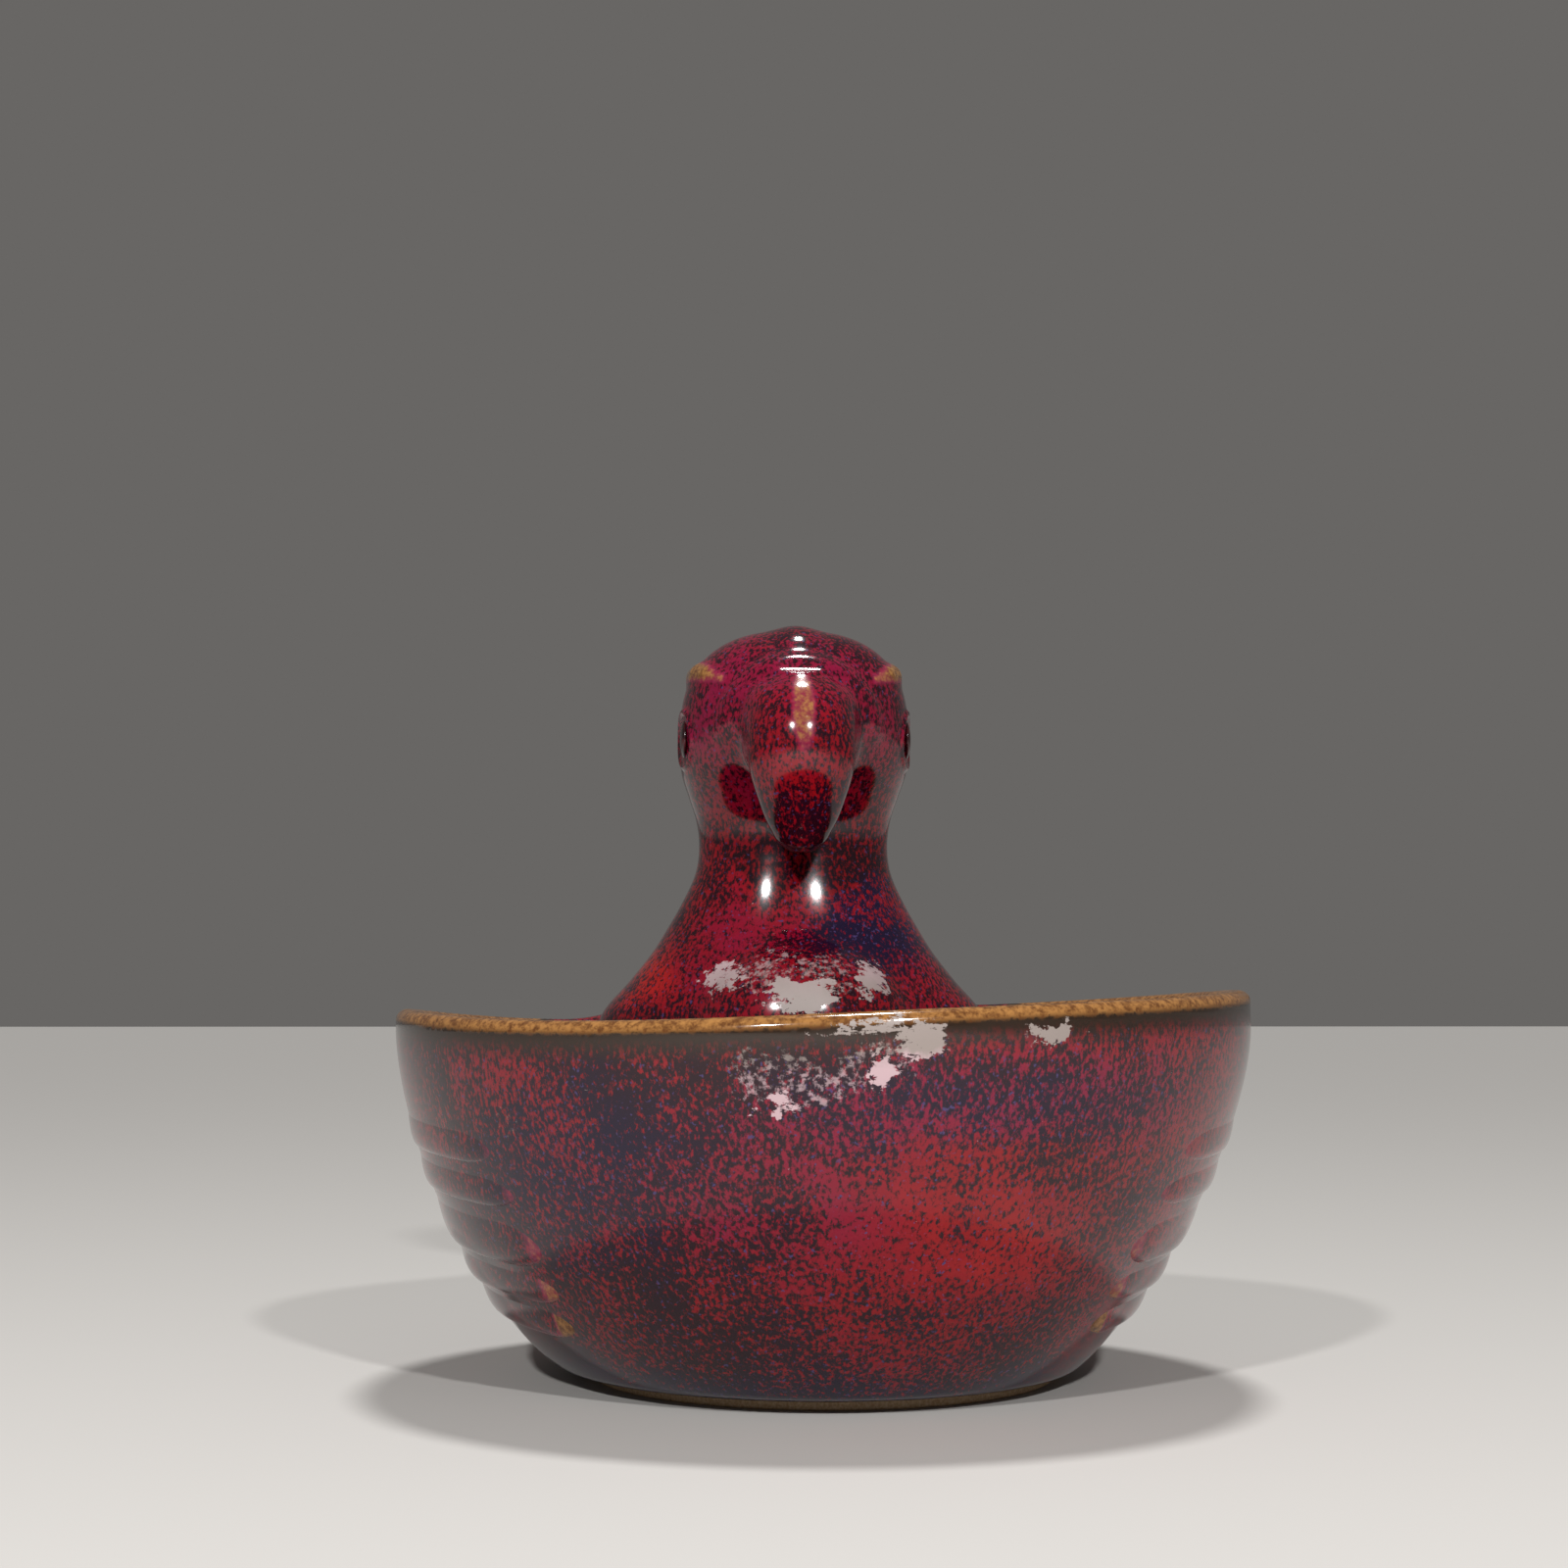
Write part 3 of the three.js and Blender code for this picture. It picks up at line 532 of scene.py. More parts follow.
def skin_points(field, low, high, pitch):
    counts = [int(math.ceil((h - l) / pitch)) + 1 for l, h in zip(low, high)]
    axes = [l + pitch * np.arange(n) for l, n in zip(low, counts)]
    values = np.empty(counts, np.float32)
    y, z = np.meshgrid(axes[1], axes[2], indexing="ij")
    for i, x in enumerate(axes[0]):
        sheet = np.stack([np.full(y.size, x), y.ravel(), z.ravel()], axis=1)
        values[i] = field(sheet).reshape(y.shape)
    grid = openvdb.FloatGrid(1.0)
    grid.copyFromArray(values)
    points, quads = grid.convertToQuads(isovalue=0.0)
    points = np.array(low) + points.astype(float) * pitch
    return settle(field, points, pitch / 2), quads


def outward(points, faces):
    """The faces turned so that they look outwards."""
    a, b, c, d = (points[faces[:, i]] for i in range(4))
    volume = np.einsum("ij,ij->", a, np.cross(b, c)) + np.einsum("ij,ij->", a, np.cross(c, d))
    return faces if volume > 0 else faces[:, ::-1]


print("the grid is refined by", SETTLE_STEPS, "steps of settling")

# %% Meshes from points


def mesh_object(name, points, faces):
    mesh = bpy.data.meshes.new(name)
    corners = [list(map(int, face)) for face in faces]
    mesh.from_pydata((np.asarray(points) * MM).tolist(), [], corners)
    mesh.polygons.foreach_set("use_smooth", [True] * len(mesh.polygons))
    mesh.update()
    obj = bpy.data.objects.new(name, mesh)
    bpy.context.scene.collection.objects.link(obj)
    return obj


def points_of(mesh):
    """A mesh's points in millimetres."""
    flat = np.empty(3 * len(mesh.vertices))
    mesh.vertices.foreach_get("co", flat)
    return flat.reshape(-1, 3) / MM


# %% Cutting and shading
CUT_WITHIN = 1e-6
SAME_HEIGHT = 1e-3
NEARLY_UPRIGHT = 0.9


def cut_level(mesh, height, keep_below):
    """Cuts a skin level at a height and closes it with a flat face."""
    bm = bmesh.new()
    bm.from_mesh(mesh)
    cut = bmesh.ops.bisect_plane(
        bm, geom=bm.verts[:] + bm.edges[:] + bm.faces[:], dist=CUT_WITHIN,
        plane_co=(0, 0, height * MM), plane_no=(0, 0, 1),
        clear_outer=keep_below, clear_inner=not keep_below,
    )
    loop = [e for e in cut["geom_cut"] if isinstance(e, bmesh.types.BMEdge)]
    bmesh.ops.triangle_fill(bm, edges=loop, use_beauty=True, normal=(0, 0, 1 if keep_below else -1))
    bmesh.ops.recalc_face_normals(bm, faces=bm.faces[:])
    bm.to_mesh(mesh)
    bm.free()


def keep_exact_normals(mesh, field, cut_height):
    """Shades the skin by the field's own slope, and the flat cut by its faces."""
    slope = slope_of(field, points_of(mesh))
    slope /= np.maximum(np.linalg.norm(slope, axis=1, keepdims=True), TINY)
    corners = np.empty(len(mesh.loops), int)
    mesh.loops.foreach_get("vertex_index", corners)
    normals = slope[corners]
    for face in mesh.polygons:
        level = abs(face.center.z / MM - cut_height) < SAME_HEIGHT
        if level and abs(face.normal.z) > NEARLY_UPRIGHT:
            normals[face.loop_start:face.loop_start + face.loop_total] = face.normal
    mesh.normals_split_custom_set(normals.tolist())


def make_skin(name, field, low, high, pitch, cut_height, keep_below):
    points, quads = skin_points(field, low, high, pitch)
    obj = mesh_object(name, points, outward(points, quads))
    cut_level(obj.data, cut_height, keep_below)
    keep_exact_normals(obj.data, field, cut_height)
    print(name, len(obj.data.vertices), "points,", len(obj.data.polygons), "faces")
    return obj


# %% Body and head skins
SEAM_HEIGHT = 76.0
MARGIN = 3.0
BODY_PITCH = 0.86
HEAD_PITCH = 0.42
HEAD_REACH = 22
HEAD_NEAR = 8
HEAD_FAR = 62
body = make_skin(
    "glazed_body", body_field,
    (-BELLY_HALF_WIDTH - MARGIN, bowl_low[1] - MARGIN, BOWL_BASE - MARGIN),
    (BELLY_HALF_WIDTH + MARGIN, bowl_high[1] + MARGIN, SEAM_HEIGHT + MARGIN),
    BODY_PITCH, SEAM_HEIGHT, True,
)
head = make_skin(
    "glazed_head", head_field,
    BIRD_MIDDLE + (-HEAD_REACH, HEAD_NEAR, SEAM_HEIGHT - MARGIN),
    BIRD_MIDDLE + (HEAD_REACH, HEAD_FAR, CROWN_TOP + MARGIN),
    HEAD_PITCH, SEAM_HEIGHT, False,
)

# %% [markdown]
# ## Where the glaze runs thin
# Glaze pulls away from sharp edges as it melts, so the dark iron-bearing coat shows amber on the
# lip and on the ridges. Each point keeps how far it lies below the rim, or how near it is to the
# crest of a ridge, and the glaze material reads these attributes.

# %% Glaze attributes
NO_LIP = 50.0
LIP_FADE = 10.0
COVER_POWER = 3
RIDGE_SOFTNESS = 0.9


def keep_value(mesh, name, values):
    layer = mesh.attributes.new(name, "FLOAT", "POINT")
    layer.data.foreach_set("value", np.asarray(values, np.float32))


def lip_drop(p):
    """Millimetres below the top of the rim, and far more where the neck covers it."""
    cover = np.clip(1 - neck_field(p) / LIP_FADE, 0, 1)
    return rim_height(p[:, 0], p[:, 1]) - p[:, 2] + NO_LIP * cover**COVER_POWER


def ridge_share(p):
    """1 along the crests of the ridges and 0 away from them."""
    share = np.zeros(len(p))
    for points, radius, _, thinness in RIDGES:
        depth = chain_field(p - BIRD_MIDDLE, points, tapered(len(points), radius))
        share = np.maximum(share, thinness * np.clip(1 - depth / RIDGE_SOFTNESS, 0, 1))
    return share


body_points = points_of(body.data)
head_points = points_of(head.data)
keep_value(body.data, "lip_drop", lip_drop(body_points))
keep_value(body.data, "thin_glaze", np.zeros(len(body_points)))
keep_value(head.data, "lip_drop", np.full(len(head_points), NO_LIP))
keep_value(head.data, "thin_glaze", ridge_share(head_points))
print("points within 1.5 mm of the lip:", int((lip_drop(body_points) < 1.5).sum()))

# %% [markdown]
# ## One helper for nodes
# Node trees for shapes and for materials are both built with one function. It adds a node, sets
# its options, fills its inputs with plain values or links, and hands back one of its outputs.
# What a tree works out is kept by name. Where it has a lot of alike nodes, such as sums or colour
# mixes, they stand in a table, one line each: the name of the result, what is done, and the
# terms, which are numbers, colours or the names of earlier results. A short loop adds them.

# %% Node helper


def add(tree, kind, inputs=(), out=0, **settings):
    """Adds a node whose inputs are given in order, or by name or number."""
    node = tree.nodes.new(kind)
    for name, value in settings.items():
        setattr(node, name, value)
    for key, value in (inputs.items() if isinstance(inputs, dict) else enumerate(inputs)):
        if isinstance(value, bpy.types.NodeSocket):
            tree.links.new(value, node.inputs[key])
        else:
            node.inputs[key].default_value = value
    return node.outputs[out] if len(node.outputs) else node


def terms_of(terms, known):
    """The terms of a table's row, with names turned into the results they stand for."""
    return [known[term] if isinstance(term, str) else term for term in terms]


def linear(hex_colour):
    """An sRGB hex colour as the linear values that a node takes."""
    shares = [int(hex_colour[i:i + 2], 16) / 255 for i in (1, 3, 5)]
    return [s / 12.92 if s <= 0.04045 else ((s + 0.055) / 1.055) ** 2.4 for s in shares] + [1]


print("a middle grey in linear light:", [round(share, 3) for share in linear("#808080")])

# %% [markdown]
# ## The wings
# The real feathers are thin slabs of clay, rounded at the tip, thick along the lower edge, and
# laid one over the next like roof tiles, so that the outline of the bowl steps in at each one.
# They repeat and they follow the wall, which is what Geometry Nodes are for. A table gives each
# feather one point with its place and size. The tree puts a rod on every point, and bends and
# flattens each rod on to a guide surface that has the shape of the wall.

# %% Wall guide
GUIDE_TOP = 56.0
GUIDE_TURNS = 181
GUIDE_ROWS = 57


def wall_guide():
    """The outer wall as a sheet that knows its own place (turn, height) and normal."""
    turns = np.linspace(-math.pi, math.pi, GUIDE_TURNS)
    heights = np.linspace(0, GUIDE_TOP, GUIDE_ROWS)
    turn, z = [g.ravel() for g in np.meshgrid(turns, heights, indexing="ij")]
    side = np.sin(turn)
    half = wall_half_width(z, side)
    points = np.stack([half * side, -(half + END_REACH) * np.cos(turn), z], axis=1)
    slope = wall_slope(z, side)
    out = np.stack([points[:, 0] / half**2, points[:, 1] / (half + END_REACH) ** 2, 0 * z], axis=1)
    out /= np.linalg.norm(out, axis=1, keepdims=True)
    out[:, 2] = -slope
    out /= np.linalg.norm(out, axis=1, keepdims=True)
    corner = np.arange(GUIDE_TURNS * GUIDE_ROWS).reshape(GUIDE_TURNS, GUIDE_ROWS)
    faces = np.stack([corner[:-1, :-1], corner[1:, :-1], corner[1:, 1:], corner[:-1, 1:]], axis=-1)
    guide = mesh_object("wall_guide", points, faces.reshape(-1, 4))
    place = np.stack([turn / math.tau + 0.5, z / GUIDE_TOP, 0 * z], axis=1)
    for name, vectors in (("place", place), ("wall_normal", out)):
        layer = guide.data.attributes.new(name, "FLOAT_VECTOR", "POINT")
        layer.data.foreach_set("vector", vectors.astype(np.float32).ravel())
    return guide


guide = wall_guide()
print("guide", len(guide.data.vertices), "points")

# %% [markdown]
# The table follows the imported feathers: five long ones a side, three coverts behind their roots,
# and the shoulder. Angles are in degrees round the bowl from its open end. "bareness" says how
# thin the glaze runs on the feather's edge. In the photograph that shows as an amber stroke on the
# lowest tips and fades from feather to feather up the wing.

# %% Feather table
FEATHER_FIELDS = (
    "tip", "root", "low", "high", "sink", "lift",
    "thickness", "round_tip", "round_root", "bareness",
)
FEATHERS = [
    (48, 120, 10.6, 15.6, 2, 3, 1.9, 0.10, 0.05, 1.0),
    (47, 120, 15.4, 20.6, 2, 3, 1.9, 0.10, 0.05, 0.62),
    (46, 120, 20.2, 28.6, 2, 3, 1.8, 0.13, 0.05, 0.5),
    (47, 120, 28.2, 34.4, 2, 3, 1.6, 0.14, 0.05, 0.4),
    (49, 120, 33.9, 40.8, 2, 3, 1.5, 0.15, 0.05, 0.35),
    (117, 138, 14.5, 24.6, 0, 0, 1.9, 0.5, 0.1, 0.6),
    (117, 138, 24.0, 34.2, 0, 0, 1.9, 0.5, 0.1, 0.6),
    (117, 138, 33.5, 43.0, 0, 0, 1.7, 0.5, 0.1, 0.6),
    (135, 156, 19.0, 45.5, 0, 0, 2.3, 0.35, 0.7, 0.55),
]


def feather_points(name, side):
    """One point a feather, all at the origin, with the table's numbers as attributes."""
    mesh = bpy.data.meshes.new(name)
    mesh.from_pydata([(0, 0, 0)] * len(FEATHERS), [], [])
    for column, field in enumerate(FEATHER_FIELDS):
        keep_value(mesh, field, [row[column] for row in FEATHERS])
    keep_value(mesh, "side", [side] * len(FEATHERS))
    obj = bpy.data.objects.new(name, mesh)
    bpy.context.scene.collection.objects.link(obj)
    return obj


thickness = FEATHER_FIELDS.index("thickness")
print(len(FEATHERS), "feathers a side, up to", max(row[thickness] for row in FEATHERS), "mm thick")

# %% [markdown]
# The tree works in this order. A rod of length 1 along X, with a round section, stands on every
# point and is made real. Along the rod runs the feather's length, from tip to root. Round the
# rod, the side that faces +Y becomes the lower edge and the side that faces -Y the upper edge,
# and the upper half becomes the visible face. The place on the wall is then looked up in the
# guide, and the thickness is added along the guide's normal.

# %% Sums of the wing tree
CLOSED_END = 0.004
THIN_EDGE = 1.9
TIP_GLOW = 0.24
LEAST_GLOW = 0.55
THIN_TIP = 0.03
TIP_GLAZE = 2.6
RISE_POWER = 3.0
FALL_POWER = 1.5
END_NARROWING = -0.9
FULL_TURN = 360.0
WING_SUMS = [
    ("across", "MULTIPLY_ADD", "spot_y", -0.5, 0.5),
    ("upper", "MAXIMUM", "spot_z", 0.0),
    ("swell", "POWER", "upper", "Bluntness"),
    ("from_root", "SUBTRACT", 1.0, "along"),
    ("near_tip", "DIVIDE", "along", "round_tip"),
    ("near_tip", "MINIMUM", "near_tip", 1.0),
    ("shut_tip", "SUBTRACT", 1.0, "near_tip"),
    ("shut_tip", "MULTIPLY", "shut_tip", "shut_tip"),
    ("open_tip", "SUBTRACT", 1.0 + CLOSED_END, "shut_tip"),
    ("near_root", "DIVIDE", "from_root", "round_root"),
    ("near_root", "MINIMUM", "near_root", 1.0),
    ("shut_root", "SUBTRACT", 1.0, "near_root"),
    ("shut_root", "MULTIPLY", "shut_root", "shut_root"),
    ("open_root", "SUBTRACT", 1.0 + CLOSED_END, "shut_root"),
    ("open", "MULTIPLY", "open_tip", "open_root"),
    ("open", "SQRT", "open"),
    ("closed", "SUBTRACT", 1.0, "open"),
    ("rise", "POWER", "along", RISE_POWER),
    ("rise", "MULTIPLY", "rise", "lift"),
    ("fall", "POWER", "from_root", FALL_POWER),
    ("fall", "MULTIPLY", "fall", "sink"),
    ("height", "SUBTRACT", "high", "low"),
    ("foot", "MULTIPLY", "height", "closed"),
    ("foot", "MULTIPLY_ADD", "foot", 0.5, "low"),
    ("foot", "ADD", "foot", "rise"),
    ("foot", "SUBTRACT", "foot", "fall"),
    ("span", "MULTIPLY_ADD", "closed", END_NARROWING, 1.0),
    ("span", "MULTIPLY", "span", "height"),
    ("from_edge", "MULTIPLY", "span", "across"),
    ("level", "ADD", "from_edge", "foot"),
    ("level", "DIVIDE", "level", GUIDE_TOP),
    ("turn", "SUBTRACT", "root", "tip"),
    ("turn", "MULTIPLY_ADD", "turn", "along", "tip"),
    ("turn", "MULTIPLY", "turn", "side"),
    ("turn", "DIVIDE", "turn", FULL_TURN),
    ("turn", "ADD", "turn", 0.5),
    ("wedge", "MULTIPLY", "across", "Upper thinning"),
    ("wedge", "SUBTRACT", 1.0, "wedge"),
    ("out", "MULTIPLY", "thickness", "wedge"),
    ("out", "MULTIPLY", "out", "swell"),
    ("out", "MULTIPLY", "out", "open"),
    ("out", "SUBTRACT", "out", "Under skin"),
    ("out", "MULTIPLY", "out", MM),
    ("thin", "DIVIDE", "from_edge", THIN_EDGE),
    ("thin", "SUBTRACT", 1.0, "thin"),
    ("glow", "DIVIDE", "along", TIP_GLOW),
    ("glow", "SUBTRACT", 1.0, "glow"),
    ("glow", "MAXIMUM", "glow", LEAST_GLOW),
    ("thin", "MULTIPLY", "thin", "glow"),
    ("bare_tip", "DIVIDE", "along", THIN_TIP),
    ("bare_tip", "SUBTRACT", TIP_GLAZE, "bare_tip"),
    ("bare_tip", "MINIMUM", "bare_tip", 1.0),
    ("thin", "MAXIMUM", "thin", "bare_tip"),
    ("thin", "MULTIPLY", "thin", "bareness"),
    ("thin", "MAXIMUM", "thin", 0.0),
]
print(len(WING_SUMS), "sums for", len(FEATHERS), "feathers a side")

# %% Inputs of the wing tree
WING_INPUTS = [
    ("Wall", "NodeSocketObject", None),
    ("Points along", "NodeSocketInt", 64),
    ("Points around", "NodeSocketInt", 32),
    ("Under skin", "NodeSocketFloat", 0.7),
    ("Bluntness", "NodeSocketFloat", 0.5),
    ("Upper thinning", "NodeSocketFloat", 0.8),
]


def new_shape_tree(name, inputs):
    """A Geometry Nodes tree with its inputs, and its input sockets by name."""
    tree = bpy.data.node_groups.new(name, "GeometryNodeTree")
    tree.interface.new_socket("Geometry", in_out="INPUT", socket_type="NodeSocketGeometry")
    tree.interface.new_socket("Geometry", in_out="OUTPUT", socket_type="NodeSocketGeometry")
    for label, kind, value in inputs:
        socket = tree.interface.new_socket(label, in_out="INPUT", socket_type=kind)
        if value is not None:
            socket.default_value = value
    node = tree.nodes.new("NodeGroupInput")
    return tree, {socket.name: socket for socket in node.outputs if socket.name}


print([label for label, *_ in WING_INPUTS])

# %% Wing tree


def feather_rods(tree, known):
    """A round rod of length 1 along X on every point, made real."""
    line = add(tree, "GeometryNodeCurvePrimitiveLine", {"Start": (0, 0, 0), "End": (1, 0, 0)})
    rod = add(tree, "GeometryNodeResampleCurve", {"Curve": line, "Count": known["Points along"]})
    section = {"Resolution": known["Points around"]}
    section = add(tree, "GeometryNodeCurvePrimitiveCircle", section)
    tube = {"Curve": rod, "Profile Curve": section, "Fill Caps": True}
    tube = add(tree, "GeometryNodeCurveToMesh", tube)
    placed = {"Points": known["Geometry"], "Instance": tube}
    placed = add(tree, "GeometryNodeInstanceOnPoints", placed)
    return add(tree, "GeometryNodeRealizeInstances", {"Geometry": placed})


def place_on_wall(tree, known):
    """Where each point of a feather goes: its seat on the wall, moved out by the thickness."""
    place = add(tree, "ShaderNodeCombineXYZ", {"X": known["turn"], "Y": known["level"]})
    wall = add(tree, "GeometryNodeObjectInfo", {"Object": known["Wall"]}, out="Geometry")
    vectors = {
        name: add(tree, "GeometryNodeInputNamedAttribute", {"Name": name}, data_type="FLOAT_VECTOR")
        for name in ("position", "wall_normal", "place")
    }
    seat, normal = [
        add(tree, "GeometryNodeSampleUVSurface", {
            "Mesh": wall, "Value": vectors[name],
            "Source UV Map": vectors["place"], "Sample UV": place,
        }, data_type="FLOAT_VECTOR")
        for name in ("position", "wall_normal")
    ]
    lifted = {0: normal, "Scale": known["out"]}
    lifted = add(tree, "ShaderNodeVectorMath", lifted, operation="SCALE")
    return add(tree, "ShaderNodeVectorMath", [seat, lifted], operation="ADD")


def wing_tree(material):
    tree, known = new_shape_tree("wing_feathers", WING_INPUTS)
    rods = feather_rods(tree, known)
    for field in FEATHER_FIELDS + ("side",):
        known[field] = add(tree, "GeometryNodeInputNamedAttribute", {"Name": field})
    spot = add(tree, "ShaderNodeSeparateXYZ", [add(tree, "GeometryNodeInputPosition")], out="X")
    known["spot_y"], known["spot_z"] = spot.node.outputs["Y"], spot.node.outputs["Z"]
    along = {"Value": spot}
    known["along"] = add(tree, "ShaderNodeMapRange", along, interpolation_type="SMOOTHSTEP")
    for name, operation, *terms in WING_SUMS:
        known[name] = add(tree, "ShaderNodeMath", terms_of(terms, known), operation=operation)
    target = place_on_wall(tree, known)

    for name, value in (("thin_glaze", known["thin"]), ("lip_drop", NO_LIP)):
        rods = add(tree, "GeometryNodeStoreNamedAttribute", {
            "Geometry": rods, "Name": name, "Value": value,
        }, data_type="FLOAT", domain="POINT")
    bent = add(tree, "GeometryNodeSetPosition", {"Geometry": rods, "Position": target})
    smooth = add(tree, "GeometryNodeSetShadeSmooth", {"Geometry": bent})
    real = add(tree, "GeometryNodeRealizeInstances", {"Geometry": smooth})
    glazed = add(tree, "GeometryNodeSetMaterial", {"Geometry": real, "Material": material})
    add(tree, "NodeGroupOutput", [glazed])
    return tree


print("the tree reads", len(FEATHER_FIELDS) + 1, "values of each feather")

# %% From a tree to a plain mesh


def made_real(name, source, tree, values, material):
    """Runs a tree on an object and returns its result as a plain mesh object."""
    modifier = source.modifiers.new("shape", "NODES")
    modifier.node_group = tree
    for socket in tree.interface.items_tree:
        if socket.in_out == "INPUT" and socket.name in values:
            modifier[socket.identifier] = values[socket.name]
    seen = source.evaluated_get(bpy.context.evaluated_depsgraph_get())
    mesh = bpy.data.meshes.new_from_object(seen)
    mesh.name = name
    mesh.materials.clear()
    mesh.materials.append(material)
    bpy.data.objects.remove(source)
    obj = bpy.data.objects.new(name, mesh)
    bpy.context.scene.collection.objects.link(obj)
    return obj


def face_outwards(mesh):
    bm = bmesh.new()
    bm.from_mesh(mesh)
    bmesh.ops.recalc_face_normals(bm, faces=bm.faces[:])
    bm.to_mesh(mesh)
    bm.free()


print("the wings are made once their glaze is")

# %% [markdown]
# ## The glaze
# The real finish is a copper-red flambé glaze on stoneware, fired to about 1280 °C in a smoky
# flame. It is a thick glass, so its IOR is that of glass and it is nearly mirror smooth. Copper
# makes it red where the coat is even and blue to violet where it ran thick or separated, in fine
# streaks that flow down the wall. Where it ran thin, the iron under it shows amber, and in a few
# places near the rim it has crystallised to a dull grey-pink skin with jagged edges.
# The pattern is drawn in the object's own space in millimetres: streaks 0.6 mm wide and 1 mm
# long, mottles of 8 mm, clouds of 26 mm, and soft zones that say which colour leads where.

# %% Glaze colours
AUBERGINE = linear("#240711")
PLUM = linear("#190c2a")
CRIMSON = linear("#8a0a14")
MAGENTA = linear("#7d0c35")
EMBER = linear("#a5160d")
ROSE = linear("#8f2446")
VIOLET_SPECK = linear("#453765")
AMBER = linear("#a4733f")
AMBER_DARK = linear("#603a1d")
OLIVE = linear("#2d2017")
DULL_SKIN = linear("#998c86")
DULL_ROSE = linear("#c7a9ae")
print("copper red in linear light:", [round(share, 3) for share in CRIMSON])

# %% [markdown]
# Each soft zone is an ellipsoid with a centre and radii in millimetres, and how strongly it
# works. "red" moves the balance between red and dark, and two of its rows are painted shade: a
# darker band on top of the mantle under the crease, and darker glaze under the beak's hook.
# "magenta" and "blue" shift the hue, and "ember" is the warm core of the crimson. "dull" is the
# crystallised skin, dense under the lip and on the mantle, and "mist" is where it is scattered in
# crumbs.

# %% Zones
ZONES = {
    # name: places it is drawn on, value outside every zone, kept within 0 and 1, the zones
    "red": ("drifted", -0.035, False, [
        ((10, -63, 26), (46, 60, 20), 0.06),
        ((16, -62, 27), (30, 40, 14), 0.03),
        ((8, -62, 14), (40, 40, 10), 0.03),
        ((52, -28, 34), (24, 60, 26), 0.04),
        ((-42, -51, 44), (9, 30, 7), 0.06),
        ((-2, 34, 62), (40, 40, 18), 0.08),
        ((-26, 36, 56), (12, 24, 10), 0.06),
        # painted shade: darker glaze along the top of the mantle, under the crease where the neck
        # meets it
        ((8, 30, 63), (24, 20, 5), -0.12),
        # painted shade: darker glaze under the hook of the upper beak
        ((-2, 22, 82), (16, 16, 9), -0.08),
        ((-2, 26, 96), (26, 30, 22), 0.06),
        ((-40, -46, 30), (24, 60, 30), -0.07),
        ((0, -66, 44), (60, 40, 6), -0.04),
        ((0, 0, 0), (80, 90, 11), -0.13),
    ]),
    "magenta": ("drifted", 0.1, False, [
        ((-2, 34, 102), (34, 30, 22), 0.7),
        ((-2, 34, 60), (44, 26, 18), 0.3),
        ((20, -60, 41), (50, 40, 9), 0.7),
        ((-14, -64, 30), (26, 40, 18), 0.45),
    ]),
    "blue": ("drifted", 0.1, False, [
        ((-36, -52, 32), (26, 54, 20), 0.55),
        ((16, -62, 40), (50, 40, 9), 0.4),
        ((0, 0, 0), (80, 90, 13), 1.1),
        ((11, 34, 66), (18, 30, 12), 0.9),
        ((0, -6, 10), (44, 50, 24), 0.8),
        ((-20, 60, 30), (60, 30, 30), 0.4),
    ]),
    "ember": ("drifted", 0.0, False, [
        ((14, -63, 29), (24, 24, 9), 0.5),
        ((23, -56, 21), (28, 24, 10), 0.6),
        ((-26, 36, 58), (12, 24, 10), 0.9),
        ((-2, 12, 88), (9, 9, 10), 0.5),
    ]),
    "dull": ("ragged", 0.0, True, [
        ((1, -68, 50.5), (9, 20, 2.6), 0.55),
        ((8.5, -68, 49), (5, 20, 4), 0.68),
        ((3, -68, 45.5), (3.6, 20, 3.6), 0.68),
        ((-10, -67, 41), (5.5, 20, 2.2), 0.44),
        ((25.5, -63, 49.8), (5, 20, 2.2), 0.8),
        ((-1.5, 20, 55.0), (10, 14, 4.5), 0.78),
        ((9.4, 24, 57.5), (5, 14, 5), 0.68),
        ((-14, 24, 58), (7, 14, 5), 0.52),
    ]),
    "mist": ("ragged", 0.0, True, [
        ((-7, -67, 43), (14, 20, 6), 1.0),
        ((-12, -67, 46), (10, 20, 5), 0.8),
        ((4, -68, 47), (11, 20, 7), 0.95),
        ((24, -63, 49.5), (8, 20, 3), 0.9),
        ((-44, -46, 38), (6, 20, 7), 0.75),
        ((-2, 22, 58), (22, 20, 9), 1.15),
        ((-27, 40, 64), (5, 14, 8), 0.9),
    ]),
}
print(sum(len(rows) for *_, rows in ZONES.values()), "zones")

# %% [markdown]
# The tables of the pattern. Streaks and the torn outlines of the dull skin are noise drawn on
# stretched places. The sums bring noises and zones together, a span turns a sum into a share
# between 0 and 1, and the coats are laid one over the other by those shares, from the dark glass
# at the bottom to the dull skin on top.

# %% Glaze tables
ZONE_CORE = 0.15
PLACES = {
    # how a place is turned and stretched: streaks flow down, and tears lean to the left
    "flow": {"Scale": (1 / 0.6, 1 / 0.6, 1 / 0.95)},
    "tear": {"Rotation": (0, math.radians(-35), 0), "Scale": (1 / 3.4, 1 / 1.2, 1 / 1.2)},
}
WANDERS = {
    # places moved about, so that zones have ragged outlines: size of the bends, and how far
    "drifted": (8.0, 12.0),
    "ragged": (4.0, 7.0),
}
WANDER_DETAIL = 5.0
WANDER_ROUGHNESS = 0.65
NOISE_MIDDLE = (0.5, 0.5, 0.5)
NOISES = {
    # name: place, size in millimetres, detail, roughness
    "streak": ("flow", 1.0, 4.0, 0.6),
    "torn": ("tear", 1.0, 8.0, 0.7),
    "speck": ("mm", 0.6, 1.0, 0.55),
    "crumb": ("mm", 1.0, 6.0, 0.7),
    "mottle": ("mm", 8.0, 3.0, 0.55),
    "cloud": ("mm", 26.0, 3.0, 0.55),
}
